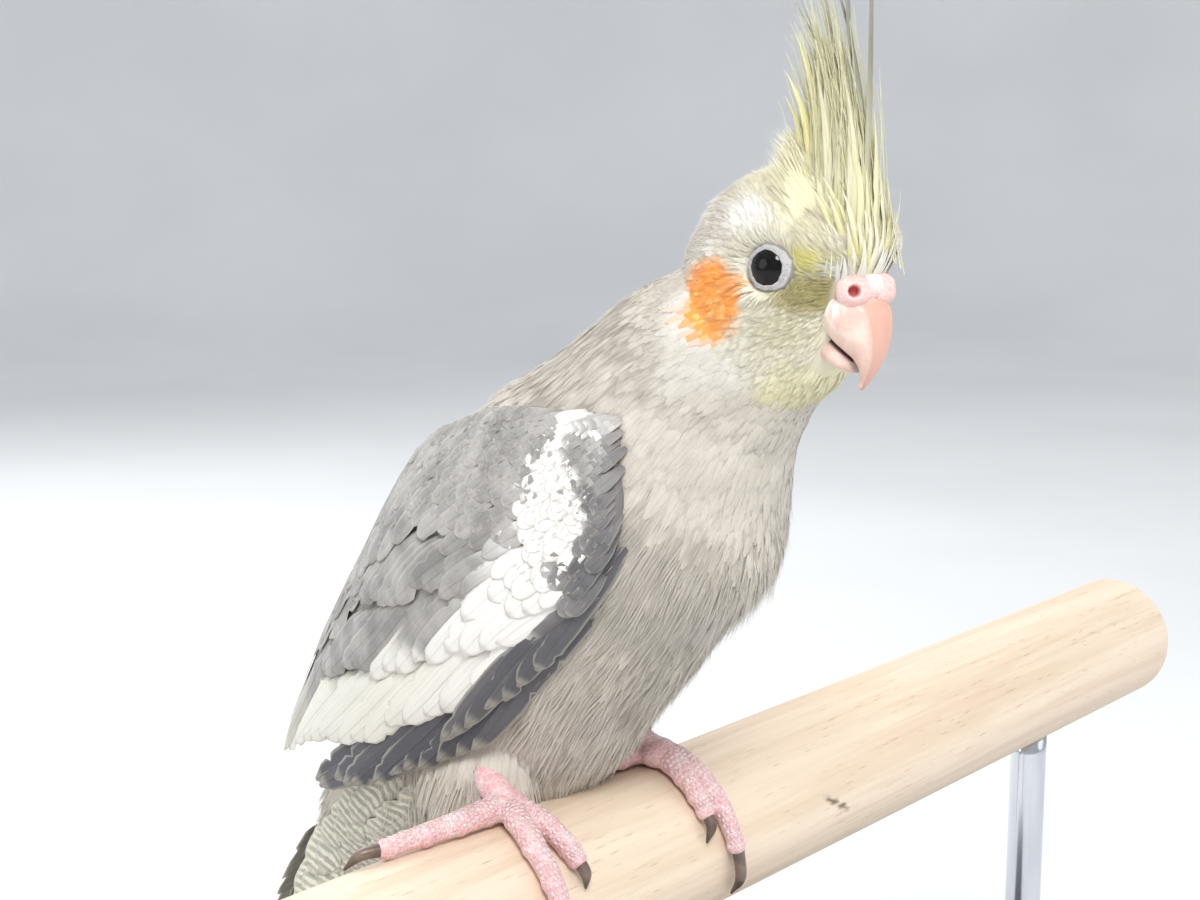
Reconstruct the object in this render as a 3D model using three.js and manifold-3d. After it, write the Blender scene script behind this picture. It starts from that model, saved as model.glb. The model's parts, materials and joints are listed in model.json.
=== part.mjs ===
// A cockatiel gripping a cut length of beech dowel, as a still model on a plain display stand.
// Millimetres, +Z up. The bird faces -Y, its right side is towards -X, and the perch runs along X.
// The origin is the middle of the underside of the stand's base.
import * as THREE from "three";
import { mergeVertices } from "three/addons/utils/BufferGeometryUtils.js";
import Module from "manifold-3d";

const wasm = await Module();
wasm.setup();

// Driving sizes
const GAP = 0.3; // between pieces that touch
const ROOM = 0.45; // how much larger a faceted neighbour is cut out, which leaves about that gap
const PERCH_RADIUS = 14;
const PERCH_LENGTH = 300;
const PERCH_EDGE = 1.5; // rounding of the dowel's sawn ends
const PERCH_HEIGHT = 134; // middle of the dowel above the table
const BIRD_X = -47; // the bird sits off the middle of its perch
const BASE = { width: 260, depth: 130, height: 12, corner: 14, edge: 1.5, shift: 12 };
const ROD = { radius: 4, spacing: 214 };

// Stations down the spine, from inside the head to the root of the tail. y and z are measured from
// the middle of the perch below the bird, and width, belly and back from the spine outwards.
const STATIONS = [
  { y: -35, z: 98, width: 10.5, belly: 12, back: 12 },
  { y: -29.5, z: 90.5, width: 14.2, belly: 15.6, back: 15.6 },
  { y: -22, z: 82, width: 17.4, belly: 18.8, back: 18.8 },
  { y: -12.5, z: 70, width: 22.5, belly: 24.8, back: 24 },
  { y: 3, z: 54, width: 25.8, belly: 27.3, back: 26.5 },
  { y: 17, z: 34.5, width: 23.5, belly: 25.4, back: 26 },
  { y: 31.5, z: 17.5, width: 19, belly: 20.4, back: 23 },
  { y: 46, z: 3.5, width: 13.5, belly: 13, back: 13 },
  { y: 57, z: -8.5, width: 9.5, belly: 6.5, back: 5 },
];
// The hull is the surface that the folded wings lie in, by the same stations.
const HULL = [
  { width: 14, belly: 16, back: 16 },
  { width: 15.5, belly: 18, back: 18 },
  { width: 19.5, belly: 21, back: 21.4 },
  { width: 26.5, belly: 27, back: 26.8 },
  { width: 30.5, belly: 30, back: 30.4 },
  { width: 29, belly: 28, back: 31 },
  { width: 25.5, belly: 24, back: 29.7 },
  { width: 21, belly: 19, back: 25 },
  { width: 17, belly: 15, back: 18.5 },
];
const NECK_END = 2.2; // station where the neck meets the torso
const TORSO_END = 7.9; // station where the torso meets the tail

const HEAD = { y: -37.8, z: 99, yaw: 12, pitch: -2.4 };
// Levels of the head from throat to crown: height, how far it reaches forward and back, half width.
const HEAD_LEVELS = [
  { up: -17.2, front: 5, back: -3, width: 4 },
  { up: -15.5, front: 8.6, back: -7, width: 7.6 },
  { up: -12.5, front: 11, back: -10.5, width: 10.4 },
  { up: -8, front: 12.6, back: -14.4, width: 12.5 },
  { up: -3, front: 14, back: -16.2, width: 13.3 },
  { up: 2, front: 15.4, back: -16.8, width: 13 },
  { up: 6.5, front: 16.2, back: -15.8, width: 12 },
  { up: 10.5, front: 15.2, back: -13, width: 10.2 },
  { up: 13.8, front: 12.4, back: -9, width: 7.6 },
  { up: 15.8, front: 8.6, back: -3.6, width: 4.6 },
  { up: 16.6, front: 5, back: 0, width: 1.8 },
];
const FOREHEAD = { forward: 10.8, up: 5.4, radii: { x: 9.7, y: 7.1, z: 5 } };
const EYE = { forward: 6.6, side: 8.5, up: 2.9, radius: 3.6, turn: 17 };
const LID = { radius: 3.1, tube: 0.75, out: 2.5 };
// The halves of the bill in the head's frame, as forward and up: each station gives the points on its
// upper and lower edge and the half width between them.
const UPPER_BILL = [
  { top: [14.2, 3.6], bottom: [7.4, -4], width: 5.4 },
  { top: [18.4, 1.8], bottom: [10.4, -6], width: 5.5 },
  { top: [20.6, -2], bottom: [12.4, -8.4], width: 5 },
  { top: [20.9, -5], bottom: [14.2, -10], width: 4.1 },
  { top: [20, -8.5], bottom: [15.6, -10.8], width: 2.9 },
  { top: [18, -11.7], bottom: [15.3, -12.3], width: 1.6 },
  { top: [15.3, -14], bottom: [14.9, -13.7], width: 0.4 },
];
const LOWER_BILL = [
  { top: [7, -4], bottom: [7, -12.2], width: 4.9 },
  { top: [10.6, -5.5], bottom: [10.4, -13.2], width: 4.5 },
  { top: [13.2, -8], bottom: [13, -13], width: 3.5 },
  { top: [14.8, -10.4], bottom: [14.3, -12.5], width: 2.1 },
];
const CERE = {
  forward: 14.4, up: 0.9, radii: { x: 5.6, y: 3.9, z: 3.1 },
  bulb: { forward: 15.2, side: 2.6, up: 0.3, radius: 2.8 },
  nostril: { forward: 17.4, side: 4.4, up: 0.05, radius: 0.75, deep: 3, turn: 40 },
};

// Feet. A place on the perch is x and the angle round it: 0 is its front, 90 its top, 180 its back.
// Each toe runs from the palm to the root of its claw, and the claw to its tip.
const TOE = { root: 2.5, tip: 1.7 };
const CLAW = { root: 1.15, tip: 0.25, arch: 1.5 };
const PALM = { x: 3.5, y: 3.8, z: 2.6 };
const FEET = {
  right: {
    ankle: [-20, 90],
    toes: {
      inner_front: {
        path: [[-19.6, 84], [-18.7, 66], [-17.8, 48], [-17.3, 40]],
        claw: [[-17.1, 31], [-16.9, 23]],
      },
      outer_front: {
        path: [[-21.5, 80], [-23.8, 58], [-24.3, 34], [-23.6, 6]],
        claw: [[-23, -14], [-21.6, -34]],
      },
      outer_back: {
        path: [[-23, 92], [-29, 94], [-36, 98], [-43, 104]],
        claw: [[-46, 110], [-48, 118]],
      },
      inner_back: {
        path: [[-18, 97], [-15.4, 110], [-13.2, 124], [-12.4, 131]],
        claw: [[-11.8, 141], [-11.6, 150]],
      },
    },
  },
  left: {
    ankle: [16, 85],
    toes: {
      inner_front: {
        path: [[15.6, 76], [14.9, 62], [14.4, 46], [14.5, 35]],
        claw: [[14.2, 26], [13.4, 17]],
      },
      outer_front: {
        path: [[17.2, 76], [17.7, 58], [18.2, 34], [19.8, 7]],
        claw: [[21, -13], [22.6, -32]],
      },
      inner_back: {
        path: [[14.6, 95], [11, 98], [7.4, 100], [5.8, 100]],
        claw: [[3.4, 99], [1.2, 97]],
      },
      outer_back: {
        path: [[18.4, 100], [21, 116], [23.4, 132], [24.6, 141]],
        claw: [[25.6, 151], [26.2, 160]],
      },
    },
  },
};
const THIGH = { side: 14, y: 12, z: 27.5, radii: { x: 8.2, y: 12, z: 13.4 }, lean: -22 };
const TARSUS = { radius: 2.5, shin: { inward: 1.4, y: 6, z: 20.5 }, knee: { side: 14, y: 12, z: 28 } };

// A feather's vane: half its width along it, as shares of the widest, and how thick it is at both ends.
const VANE = {
  outline: [[0, 0.5], [0.4, 1], [0.8, 0.84], [1, 0.18]],
  long: [[0, 0.5], [0.25, 0.92], [0.55, 1], [0.85, 0.76], [1, 0.16]],
  root: 0.6, tip: 0.42,
};
// A folded wing's feathers in tiers. Roots and tips run evenly from the tier's lowest feather to its
// uppermost one, each a station and an angle of the hull. Lift is their height above the hull, tilt how
// much of its width each one's lower edge is raised by, so that it lies over the one below.
const WING_TIERS = [
  { // primaries
    count: 4, half: 2.9, tilt: 0.2, lift: [-3.2, -3],
    roots: [[3.85, -29], [4.4, -19]], tips: [[4.95, -31], [6.3, -16]],
  },
  { // secondaries
    count: 8, half: 3.4, tilt: 0.23, lift: [-2.2, -1.9],
    roots: [[3.7, -22], [5.15, 33]], tips: [[4.6, -25], [6.97, 34]],
  },
  { // primary coverts
    count: 3, half: 2.6, tilt: 0.24, lift: [-1.7, -1.6],
    roots: [[3.2, -33], [3.7, -26]], tips: [[4.05, -36], [4.85, -28]],
  },
  { // greater coverts
    count: 6, half: 3.7, tilt: 0.22, lift: [-0.7, -0.6],
    roots: [[3.2, -20], [4.6, 32]], tips: [[4.05, -25], [5.8, 34]],
  },
  { // tertials
    count: 3, half: 5, tilt: 0.2, lift: [-1.2, -1.1],
    roots: [[4.75, 45], [4.9, 68]], tips: [[6.9, 45], [6.75, 68]],
  },
  { // median coverts
    count: 5, half: 3.7, tilt: 0.2, lift: [0.5, 0.7],
    roots: [[2.8, -15], [3.8, 30]], tips: [[3.5, -22], [4.8, 33]],
  },
  { // scapulars
    count: 4, half: 4.2, tilt: 0.2, lift: [0.5, 0.7],
    roots: [[3.2, 40], [4, 68]], tips: [[4.9, 44], [5.4, 74]],
  },
];
// The flesh of the wing between those stations, from its lowest to its highest angle there.
const WING_CORE = [
  { station: 2.25, low: -8, high: 14, lift: -0.8 }, { station: 2.7, low: -26, high: 32, lift: 0.5 },
  { station: 3.3, low: -34, high: 52, lift: 0.2 }, { station: 4, low: -30, high: 70, lift: -1 },
  { station: 4.7, low: -4, high: 72, lift: -1.8 }, { station: 5.4, low: 34, high: 66, lift: -2.2 },
];
const WING_INSIDE = 1.8; // above the body below, whose facets bulge between the wing's own
const WING_ROOT = { depth: 2, reach: 0.35 }; // a feather's root lies this deep, and rises over this share

// The tail hangs from the rump. Its feathers are in pairs from the middle one outwards, each pair a
// level lower. All sizes are in the tail's own frame, which runs along the tail.
const TAIL = {
  y: 55.5, z: 0.2, drop: 60, length: 128, level: 0.9, half: 5,
  pairs: [
    { side: 2.4, share: 1 }, { side: 4.6, share: 0.93 }, { side: 6.4, share: 0.83 },
    { side: 7.8, share: 0.74 }, { side: 9, share: 0.66 }, { side: 9.8, share: 0.58 },
  ],
  above: { count: 3, length: 36, side: 4.2, half: 4.2, height: 2.6, from: 3 },
  below: { count: 5, length: 50, side: 6.4, half: 4.4, height: -6.2, from: 0 },
  core: { height: -3, rings: [[1, 8.5, 4.8], [9, 9, 4.8], [17, 8, 3.4], [27, 5.5, 1.5]] },
};

// The crest's feathers stand in rows from front to back: where a row is rooted, its middle feather's
// length, the lean at its root and its bend back towards the tip, in degrees.
const CREST_CUT = { forward: 6, up: 10.8, slope: 24 };
const CREST = {
  rows: [
    { forward: 15.6, up: 8.6, count: 3, length: 29, lean: 5, bend: 14 },
    { forward: 12.6, up: 10.8, count: 4, length: 43, lean: 1, bend: 8 },
    { forward: 9.4, up: 12.6, count: 3, length: 46, lean: -2, bend: 5 },
    { forward: 6.3, up: 13.6, count: 3, length: 34, lean: -3, bend: 5 },
    { forward: 3.2, up: 14.4, count: 3, length: 17, lean: -5, bend: 10 },
  ],
  spacing: 2.2, spread: -1, half: 2.1, sunk: 3, shorter: 0.9,
};

// Colours
const finish = (color, roughness, metalness = 0) =>
  new THREE.MeshStandardMaterial({ color, roughness, metalness });
const PLUMAGE_GREY = finish(0xb9b0a4, 0.9);
const PLUMAGE_HEAD = finish(0xd9d3ac, 0.9);
const PLUMAGE_WING = finish(0x9d9a96, 0.85);
const PLUMAGE_CREST = finish(0xdcd79f, 0.9);
const EYE_BLACK = finish(0x0c0908, 0.08);
const BILL_HORN = finish(0xdfb0a2, 0.45);
const CERE_SKIN = finish(0xe6b9b4, 0.6);
const FOOT_SKIN = finish(0xdb9c9c, 0.65);
const CLAW_HORN = finish(0x4c3f39, 0.4);
const BEECH = finish(0xdec6a2, 0.6);
const CHROME = finish(0xc9ccd0, 0.15, 1);
const BASE_PAINT = finish(0x3b3d40, 0.5);

// Solids and surfaces
const radians = THREE.MathUtils.degToRad;
const mix = THREE.MathUtils.lerp;

function closedGeometry(points, faces) {
  let volume = 0;
  for (const [a, b, c] of faces) volume += points[a].dot(points[b].clone().cross(points[c]));
  const geometry = new THREE.BufferGeometry();
  const values = points.flatMap((p) => [p.x, p.y, p.z]);
  geometry.setAttribute("position", new THREE.Float32BufferAttribute(values, 3));
  geometry.setIndex(faces.flatMap(([a, b, c]) => (volume < 0 ? [a, c, b] : [a, b, c])));
  return geometry;
}

// A closed skin over rings of points. In a thin ring of four, the face below is split as the one above.
function loft(rings, thin = false) {
  const count = rings[0].length;
  const points = rings.flat();
  const faces = [];
  for (let i = 0; i + 1 < rings.length; i++) {
    for (let j = 0; j < count; j++) {
      const [a, b] = [i * count + j, i * count + ((j + 1) % count)];
      const [c, d] = [a + count, b + count];
      if (thin && j === 2) faces.push([a, b, c], [b, d, c]);
      else faces.push([a, b, d], [a, d, c]);
    }
  }
  [[0, 1], [rings.length - 1, -1]].forEach(([index, turn]) => {
    const first = index * count;
    const middle = points.length;
    const centre = rings[index].reduce((sum, p) => sum.add(p), new THREE.Vector3()).divideScalar(count);
    if (!thin) points.push(centre);
    for (let j = 0; j < count; j++) {
      const [a, b] = [first + j, first + ((j + 1) % count)];
      if (!thin) faces.push(turn > 0 ? [middle, b, a] : [middle, a, b]);
      else if (j > 0 && j < count - 1) faces.push(turn > 0 ? [first, b, a] : [first, a, b]);
    }
  });
  return closedGeometry(points, faces);
}

function solidOf(geometry) {
  const bare = geometry.clone();
  bare.deleteAttribute("normal");
  bare.deleteAttribute("uv");
  const merged = mergeVertices(bare, 1e-4);
  return new wasm.Manifold(new wasm.Mesh({
    numProp: 3,
    vertProperties: new Float32Array(merged.getAttribute("position").array),
    triVerts: new Uint32Array(merged.getIndex().array),
  }));
}

const joined = (solids) => solids.reduce((whole, piece) => whole.add(piece));

// Back to a geometry, keeping the largest closed surface only.
function geometryOf(solid) {
  const bodies = solid.decompose();
  const largest = bodies.reduce((best, body) => (body.volume() > best.volume() ? body : best));
  const mesh = largest.getMesh();
  const geometry = new THREE.BufferGeometry();
  geometry.setAttribute("position", new THREE.BufferAttribute(new Float32Array(mesh.vertProperties), 3));
  geometry.setIndex(new THREE.BufferAttribute(new Uint32Array(mesh.triVerts), 1));
  return geometry;
}

function part(name, shape, material, parent) {
  const geometry = shape.isBufferGeometry ? shape : geometryOf(shape);
  geometry.computeVertexNormals();
  const mesh = new THREE.Mesh(geometry, material);
  mesh.name = name;
  parent.add(mesh);
  return mesh;
}

function ellipsoid(center, radii, turn = 0, sides = 20) {
  const geometry = new THREE.SphereGeometry(1, sides, Math.round(sides * 0.6));
  geometry.scale(radii.x, radii.y, radii.z);
  geometry.rotateX(radians(turn));
  return geometry.translate(center.x, center.y, center.z);
}

// A round tube whose radius changes along a path of points, with rounded ends.
function taperedTube(points, radii, sides = 8, steps = 8) {
  const path = new THREE.CatmullRomCurve3(points);
  const sizes = new THREE.CatmullRomCurve3(radii.map((r) => new THREE.Vector3(r, 0, 0)));
  const frames = path.computeFrenetFrames(steps);
  const rings = [];
  const ring = (t, scale, shift) => {
    const i = Math.round(t * steps);
    const middle = path.getPointAt(t).addScaledVector(frames.tangents[i], shift);
    const radius = sizes.getPoint(t).x * scale;
    return Array.from({ length: sides }, (_, j) => {
      const angle = (2 * Math.PI * j) / sides;
      return middle.clone()
        .addScaledVector(frames.normals[i], radius * Math.cos(angle))
        .addScaledVector(frames.binormals[i], radius * Math.sin(angle));
    });
  };
  rings.push(ring(0, 0.55, -radii[0] * 0.6));
  for (let i = 0; i <= steps; i++) rings.push(ring(i / steps, 1, 0));
  rings.push(ring(1, 0.5, radii[radii.length - 1] * 0.55));
  return loft(rings);
}

// One feather. place(u) gives its middle from root to tip, with the way out of its upper face and the
// way across it.
function vane(place, half, outline, tilt = 0) {
  return solidOf(loft(outline.map(([u, share]) => {
    const { middle, out, across } = place(u);
    const [wide, deep] = [half * share, mix(VANE.root, VANE.tip, u) / 2];
    const corner = (x, z) =>
      middle.clone().addScaledVector(across, x * wide).addScaledVector(out, z * deep - x * wide * tilt);
    return [corner(-1, 1), corner(1, 1), corner(1, -1), corner(-1, -1)];
  }), true));
}

// The spine, and the body's surface in stations and degrees: 0 is the side, 90 the back.
const spine = new THREE.CatmullRomCurve3(STATIONS.map(({ y, z }) => new THREE.Vector3(0, y, z)));
const profileCurve = (list) =>
  new THREE.CatmullRomCurve3(list.map(({ width, belly, back }) => new THREE.Vector3(width, belly, back)));
const BODY_PROFILE = profileCurve(STATIONS);
const HULL_PROFILE = profileCurve(HULL);

function surfacePoint(profile, station, angle, side, lift = 0) {
  const t = station / (STATIONS.length - 1);
  const middle = spine.getPoint(t);
  const along = spine.getTangent(t);
  const toBack = new THREE.Vector3(0, -along.z, along.y);
  const size = profile.getPoint(t);
  const deep = (angle > 0 ? size.z : size.y) + lift;
  const a = radians(angle);
  return middle.addScaledVector(toBack, deep * Math.sin(a))
    .add(new THREE.Vector3(side * (size.x + lift) * Math.cos(a), 0, 0));
}

function bodyRing(station, lift = 0, sides = 24) {
  return Array.from({ length: sides }, (_, j) => {
    const turn = (360 * j) / sides - 90;
    const [angle, side] = turn > 90 ? [180 - turn, -1] : [turn, 1];
    return surfacePoint(BODY_PROFILE, station, angle, side, lift);
  });
}

function bodyLength(from, to, lift = 0, step = 0.5) {
  const count = Math.ceil((to - from) / step);
  return loft(Array.from({ length: count + 1 }, (_, i) => bodyRing(mix(from, to, i / count), lift)));
}

// The head in its own frame: it faces -Y and its middle is the origin.
function headShape(lift = 0, sides = 20) {
  const rings = HEAD_LEVELS.map(({ up, front, back, width }, i) => {
    const rise = i === 0 ? -lift : i === HEAD_LEVELS.length - 1 ? lift : 0;
    return Array.from({ length: sides }, (_, j) => {
      const a = (2 * Math.PI * j) / sides;
      const reach = (front - back) / 2 + lift;
      const y = -(front + back) / 2 - reach * Math.cos(a);
      return new THREE.Vector3((width + lift) * Math.sin(a), y, up + rise);
    });
  });
  return loft(rings);
}

const headFrame = new THREE.Group();
headFrame.position.set(0, HEAD.y, HEAD.z);
headFrame.rotation.set(radians(HEAD.pitch), 0, radians(-HEAD.yaw), "ZYX");
headFrame.updateMatrix();
const inHead = (geometry) => geometry.clone().applyMatrix4(headFrame.matrix);

// Assembly
const cockatiel = new THREE.Group();
const bird = new THREE.Group();
bird.position.set(BIRD_X, 0, PERCH_HEIGHT);
cockatiel.add(bird);
bird.add(headFrame);

function perchShape(lift = 0) {
  const [radius, half] = [PERCH_RADIUS + lift, PERCH_LENGTH / 2 + lift];
  const edge = PERCH_EDGE;
  const [face, rim] = [radius - edge, half - edge];
  const corners = [[face, -half], [radius, -rim], [radius, rim], [face, half]];
  const outline = [[0, -half], ...corners, [0, half]].map(([r, h]) => new THREE.Vector2(r, h));
  return new THREE.LatheGeometry(outline, 32).rotateZ(Math.PI / 2);
}
// What lies on the perch is cut clear of it by this plainer, slightly thicker dowel.
const PERCH_ROOM = 0.55;
const roomRadius = PERCH_RADIUS + PERCH_ROOM;
const roomDowel = new THREE.CylinderGeometry(roomRadius, roomRadius, PERCH_LENGTH, 24);
const perchRoom = solidOf(roomDowel.rotateZ(Math.PI / 2));

const SIDES = { right: -1, left: 1 };

// Body
function addTorso() {
  const legs = Object.entries(SIDES).flatMap(([name, side]) => {
    const { foot, toeParts } = legShapes(name, side, ROOM);
    return [solidOf(thighShape(side, ROOM)), foot, ...toeParts.map(({ nail }) => nail)];
  });
  const torso = solidOf(bodyLength(NECK_END, TORSO_END)).subtract(joined(legs)).subtract(perchRoom);
  part("torso", torso, PLUMAGE_GREY, bird);
  const neck = solidOf(bodyLength(0, NECK_END - 0.02)).subtract(solidOf(inHead(headShape(ROOM))));
  part("neck", neck, PLUMAGE_GREY, bird);
}

// Head
const inFront = (forward, side, up) => new THREE.Vector3(side, -forward, up);

// One half of the bill: flat-bottomed rings from its upper edge round to its lower one.
function billShape(line, lift = 0) {
  const curve = (pick) => new THREE.CatmullRomCurve3(line.map(pick));
  const upper = curve(({ top }) => inFront(top[0], 0, top[1]));
  const lower = curve(({ bottom }) => inFront(bottom[0], 0, bottom[1]));
  const widths = curve(({ width }) => new THREE.Vector3(width, 0, 0));
  const steps = Math.round(1.5 * (line.length - 1));
  const rings = Array.from({ length: steps + 1 }, (_, i) => {
    const t = i / steps;
    const [top, bottom] = [upper.getPoint(t), lower.getPoint(t)];
    const middle = top.clone().add(bottom).multiplyScalar(0.5);
    const outward = top.clone().sub(bottom).normalize();
    const [deep, wide] = [top.distanceTo(bottom) / 2 + lift, widths.getPoint(t).x + lift];
    return Array.from({ length: 12 }, (_, j) => {
      const a = (2 * Math.PI * j) / 12;
      const square = Math.cos(a) < 0 ? 0.6 : 1;
      const x = wide * Math.sign(Math.sin(a)) * Math.abs(Math.sin(a)) ** square;
      return middle.clone().addScaledVector(outward, deep * Math.cos(a)).add(new THREE.Vector3(x, 0, 0));
    });
  });
  if (lift > 0) rings.unshift(rings[0].map((p) => p.clone().add(inFront(-lift, 0, 0)))); // room behind it
  return loft(rings);
}

const grown = ({ x, y, z }, lift) => new THREE.Vector3(x + lift, y + lift, z + lift);

function cereShape(lift = 0) {
  const { forward, up, radii, bulb } = CERE;
  const round = grown({ x: bulb.radius, y: bulb.radius, z: bulb.radius }, lift);
  const centres = [-1, 1].map((side) => inFront(bulb.forward, side * bulb.side, bulb.up));
  const bulbs = centres.map((centre) => ellipsoid(centre, round, 0, 10));
  return joined([ellipsoid(inFront(forward, 0, up), grown(radii, lift), 0, 10), ...bulbs].map(solidOf));
}

function foreheadShape(lift = 0) {
  const { forward, up, radii } = FOREHEAD;
  return ellipsoid(inFront(forward, 0, up), grown(radii, lift), 0, 12);
}
const wholeHead = () => solidOf(headShape()).add(solidOf(foreheadShape()));

function addHead() {
  const sides = [-1, 1];
  const eyes = sides.map((side) => inFront(EYE.forward, side * EYE.side, EYE.up));
  const ball = (middle, lift) => new THREE.SphereGeometry(EYE.radius + lift, 14, 9).translate(...middle);
  const lids = sides.map((side, i) => {
    const ring = new THREE.TorusGeometry(LID.radius, LID.tube, 5, 16).rotateY(Math.PI / 2);
    ring.translate(side * LID.out, 0, 0).rotateZ(-side * radians(EYE.turn));
    return solidOf(ring.translate(...eyes[i]));
  });
  const upper = solidOf(billShape(UPPER_BILL));
  const lower = solidOf(billShape(LOWER_BILL)).subtract(solidOf(billShape(UPPER_BILL, ROOM)));
  const sockets = eyes.map((middle) => solidOf(ball(middle, GAP)));
  const mouth = [UPPER_BILL, LOWER_BILL].map((line) => solidOf(billShape(line, ROOM)));
  const room = joined([...sockets, ...mouth, cereShape(ROOM)]);
  const head = joined([wholeHead(), ...lids]).subtract(room);
  part("head", head.subtract(crestCut(false)), PLUMAGE_HEAD, headFrame);
  part("bill_upper", upper.subtract(cereShape(ROOM)), BILL_HORN, headFrame);
  part("bill_lower", lower, BILL_HORN, headFrame);
  const nostrils = sides.map((side) => {
    const { forward, side: out, up, radius, deep, turn } = CERE.nostril;
    const hole = new THREE.CylinderGeometry(radius, radius, deep, 10).rotateZ(side * radians(turn));
    return solidOf(hole.translate(...inFront(forward, side * out, up)));
  });
  part("cere", cereShape().subtract(joined(nostrils)), CERE_SKIN, headFrame);
  part("eye_right", ball(eyes[0], 0), EYE_BLACK, headFrame);
  part("eye_left", ball(eyes[1], 0), EYE_BLACK, headFrame);
}

// Everything above the slanting cut between head and crest, or below it with the gap between them.
function crestCut(below) {
  const size = 60;
  const block = new THREE.BoxGeometry(size, size, size).translate(0, 0, below ? -size / 2 + GAP : size / 2);
  block.rotateX(radians(CREST_CUT.slope));
  return solidOf(block.translate(...inFront(CREST_CUT.forward, 0, CREST_CUT.up)));
}

const FORWARD = new THREE.Vector3(0, -1, 0);
// One feather of the crest, curving back and standing away from the middle towards its tip.
function crestVane(row, place) {
  const { forward, up, length, lean, bend, count } = row;
  const fan = place - (count - 1) / 2;
  const tall = length * CREST.shorter ** Math.abs(fan);
  const apart = place % 2; // every second one stands a little further back
  const root = inFront(forward - apart, fan * CREST.spacing, up - 0.4 * Math.abs(fan));
  return vane((u) => {
    const [tip, side] = [radians(lean - bend * u), radians(CREST.spread * fan)];
    const along = new THREE.Vector3(0, -Math.sin(tip), Math.cos(tip)).applyAxisAngle(FORWARD, -side);
    const across = new THREE.Vector3(Math.cos(side), 0, -Math.sin(side));
    const middle = root.clone().addScaledVector(along, u * (tall + CREST.sunk) - CREST.sunk);
    return { middle, across, out: new THREE.Vector3().crossVectors(across, along).normalize() };
  }, CREST.half, VANE.long);
}

function addCrest() {
  const cap = wholeHead().subtract(crestCut(true));
  const vanes = CREST.rows.flatMap((row) => Array.from({ length: row.count }, (_, i) => crestVane(row, i)));
  part("crest", cap.add(joined(vanes)).subtract(crestCut(true)), PLUMAGE_CREST, headFrame);
}

// Legs
function thighShape(side, lift = 0) {
  const middle = new THREE.Vector3(side * THIGH.side, THIGH.y, THIGH.z);
  return ellipsoid(middle, grown(THIGH.radii, lift), THIGH.lean, 14);
}

const onPerch = (x, angle, height) => {
  const [a, r] = [radians(angle), PERCH_RADIUS + GAP + 0.15 + height];
  return new THREE.Vector3(x, -r * Math.cos(a), r * Math.sin(a));
};

// A leg with what stands on the perch: tarsus, palm and toes in one, and each claw, all of them lifted.
function legShapes(name, side, lift = 0) {
  const { ankle, toes } = FEET[name];
  const palm = onPerch(ankle[0], ankle[1], TOE.root + 0.1);
  const shin = new THREE.Vector3(ankle[0] - side * TARSUS.shin.inward, TARSUS.shin.y, TARSUS.shin.z);
  const knee = new THREE.Vector3(side * TARSUS.knee.side, TARSUS.knee.y, TARSUS.knee.z);
  const tarsus = taperedTube([palm, shin, knee], Array(3).fill(TARSUS.radius + lift), 8, 3);
  const pad = ellipsoid(palm, grown(PALM, lift), 0, 10);
  const toeParts = Object.entries(toes).map(([toe, { path, claw }]) => {
    const radii = path.map((_, i) => mix(TOE.root, TOE.tip, i / (path.length - 1)));
    const points = path.map(([x, angle], i) => onPerch(x, angle, radii[i]));
    const flesh = taperedTube([palm, ...points], [TOE.root, ...radii].map((r) => r + lift), 6, 6);
    const nailRoot = onPerch(...path[path.length - 1], TOE.tip);
    const heights = [CLAW.arch, CLAW.tip];
    const nailPath = [nailRoot, ...claw.map(([x, angle], i) => onPerch(x, angle, heights[i]))];
    const nail = taperedTube(nailPath, [CLAW.root, CLAW.root * 0.9, CLAW.tip].map((r) => r + lift), 6, 3);
    return { toe, flesh: solidOf(flesh), nail: solidOf(nail) };
  });
  return { foot: joined([solidOf(tarsus), solidOf(pad), ...toeParts.map(({ flesh }) => flesh)]), toeParts };
}

function addLeg(name, side) {
  const { foot, toeParts } = legShapes(name, side);
  const room = legShapes(name, side, ROOM);
  part(`foot_${name}`, foot.subtract(perchRoom), FOOT_SKIN, bird);
  const thigh = solidOf(thighShape(side)).subtract(perchRoom).subtract(room.foot);
  part(`thigh_${name}`, thigh, PLUMAGE_GREY, bird);
  for (const { toe, nail } of toeParts) {
    part(`claw_${name}_${toe}`, nail.subtract(room.foot).subtract(perchRoom), CLAW_HORN, bird);
  }
}

// Wings
// A line over the hull from root to tip, with the hull's own directions along it.
function hullPlace(side, root, tip, lift) {
  const at = (u, turn = 0) => {
    const [station, angle] = root.map((value, k) => mix(value, tip[k], u));
    return surfacePoint(HULL_PROFILE, station, angle + turn, side, lift);
  };
  return (u) => {
    const middle = at(u);
    const along = at(u + 0.01).sub(at(u - 0.01)).normalize();
    const around = at(u, 1).sub(at(u, -1)).normalize();
    const out = new THREE.Vector3().crossVectors(along, around).multiplyScalar(side).normalize();
    const across = new THREE.Vector3().crossVectors(out, along).multiplyScalar(side).normalize();
    return { middle, out, across };
  };
}

function wingTier(side, { count, roots, tips, half, lift, tilt }) {
  return Array.from({ length: count }, (_, i) => {
    const share = i / (count - 1);
    const between = ([from, to]) => from.map((value, k) => mix(value, to[k], share));
    const rise = mix(lift[0], lift[1], share);
    const place = hullPlace(side, between(roots), between(tips), rise);
    return vane((u) => {
      const here = place(u);
      const sunk = Math.max(0, WING_ROOT.depth + rise) * Math.max(0, 1 - u / WING_ROOT.reach);
      here.middle.addScaledVector(here.out, -sunk);
      return here;
    }, half, VANE.outline, tilt);
  });
}

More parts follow.
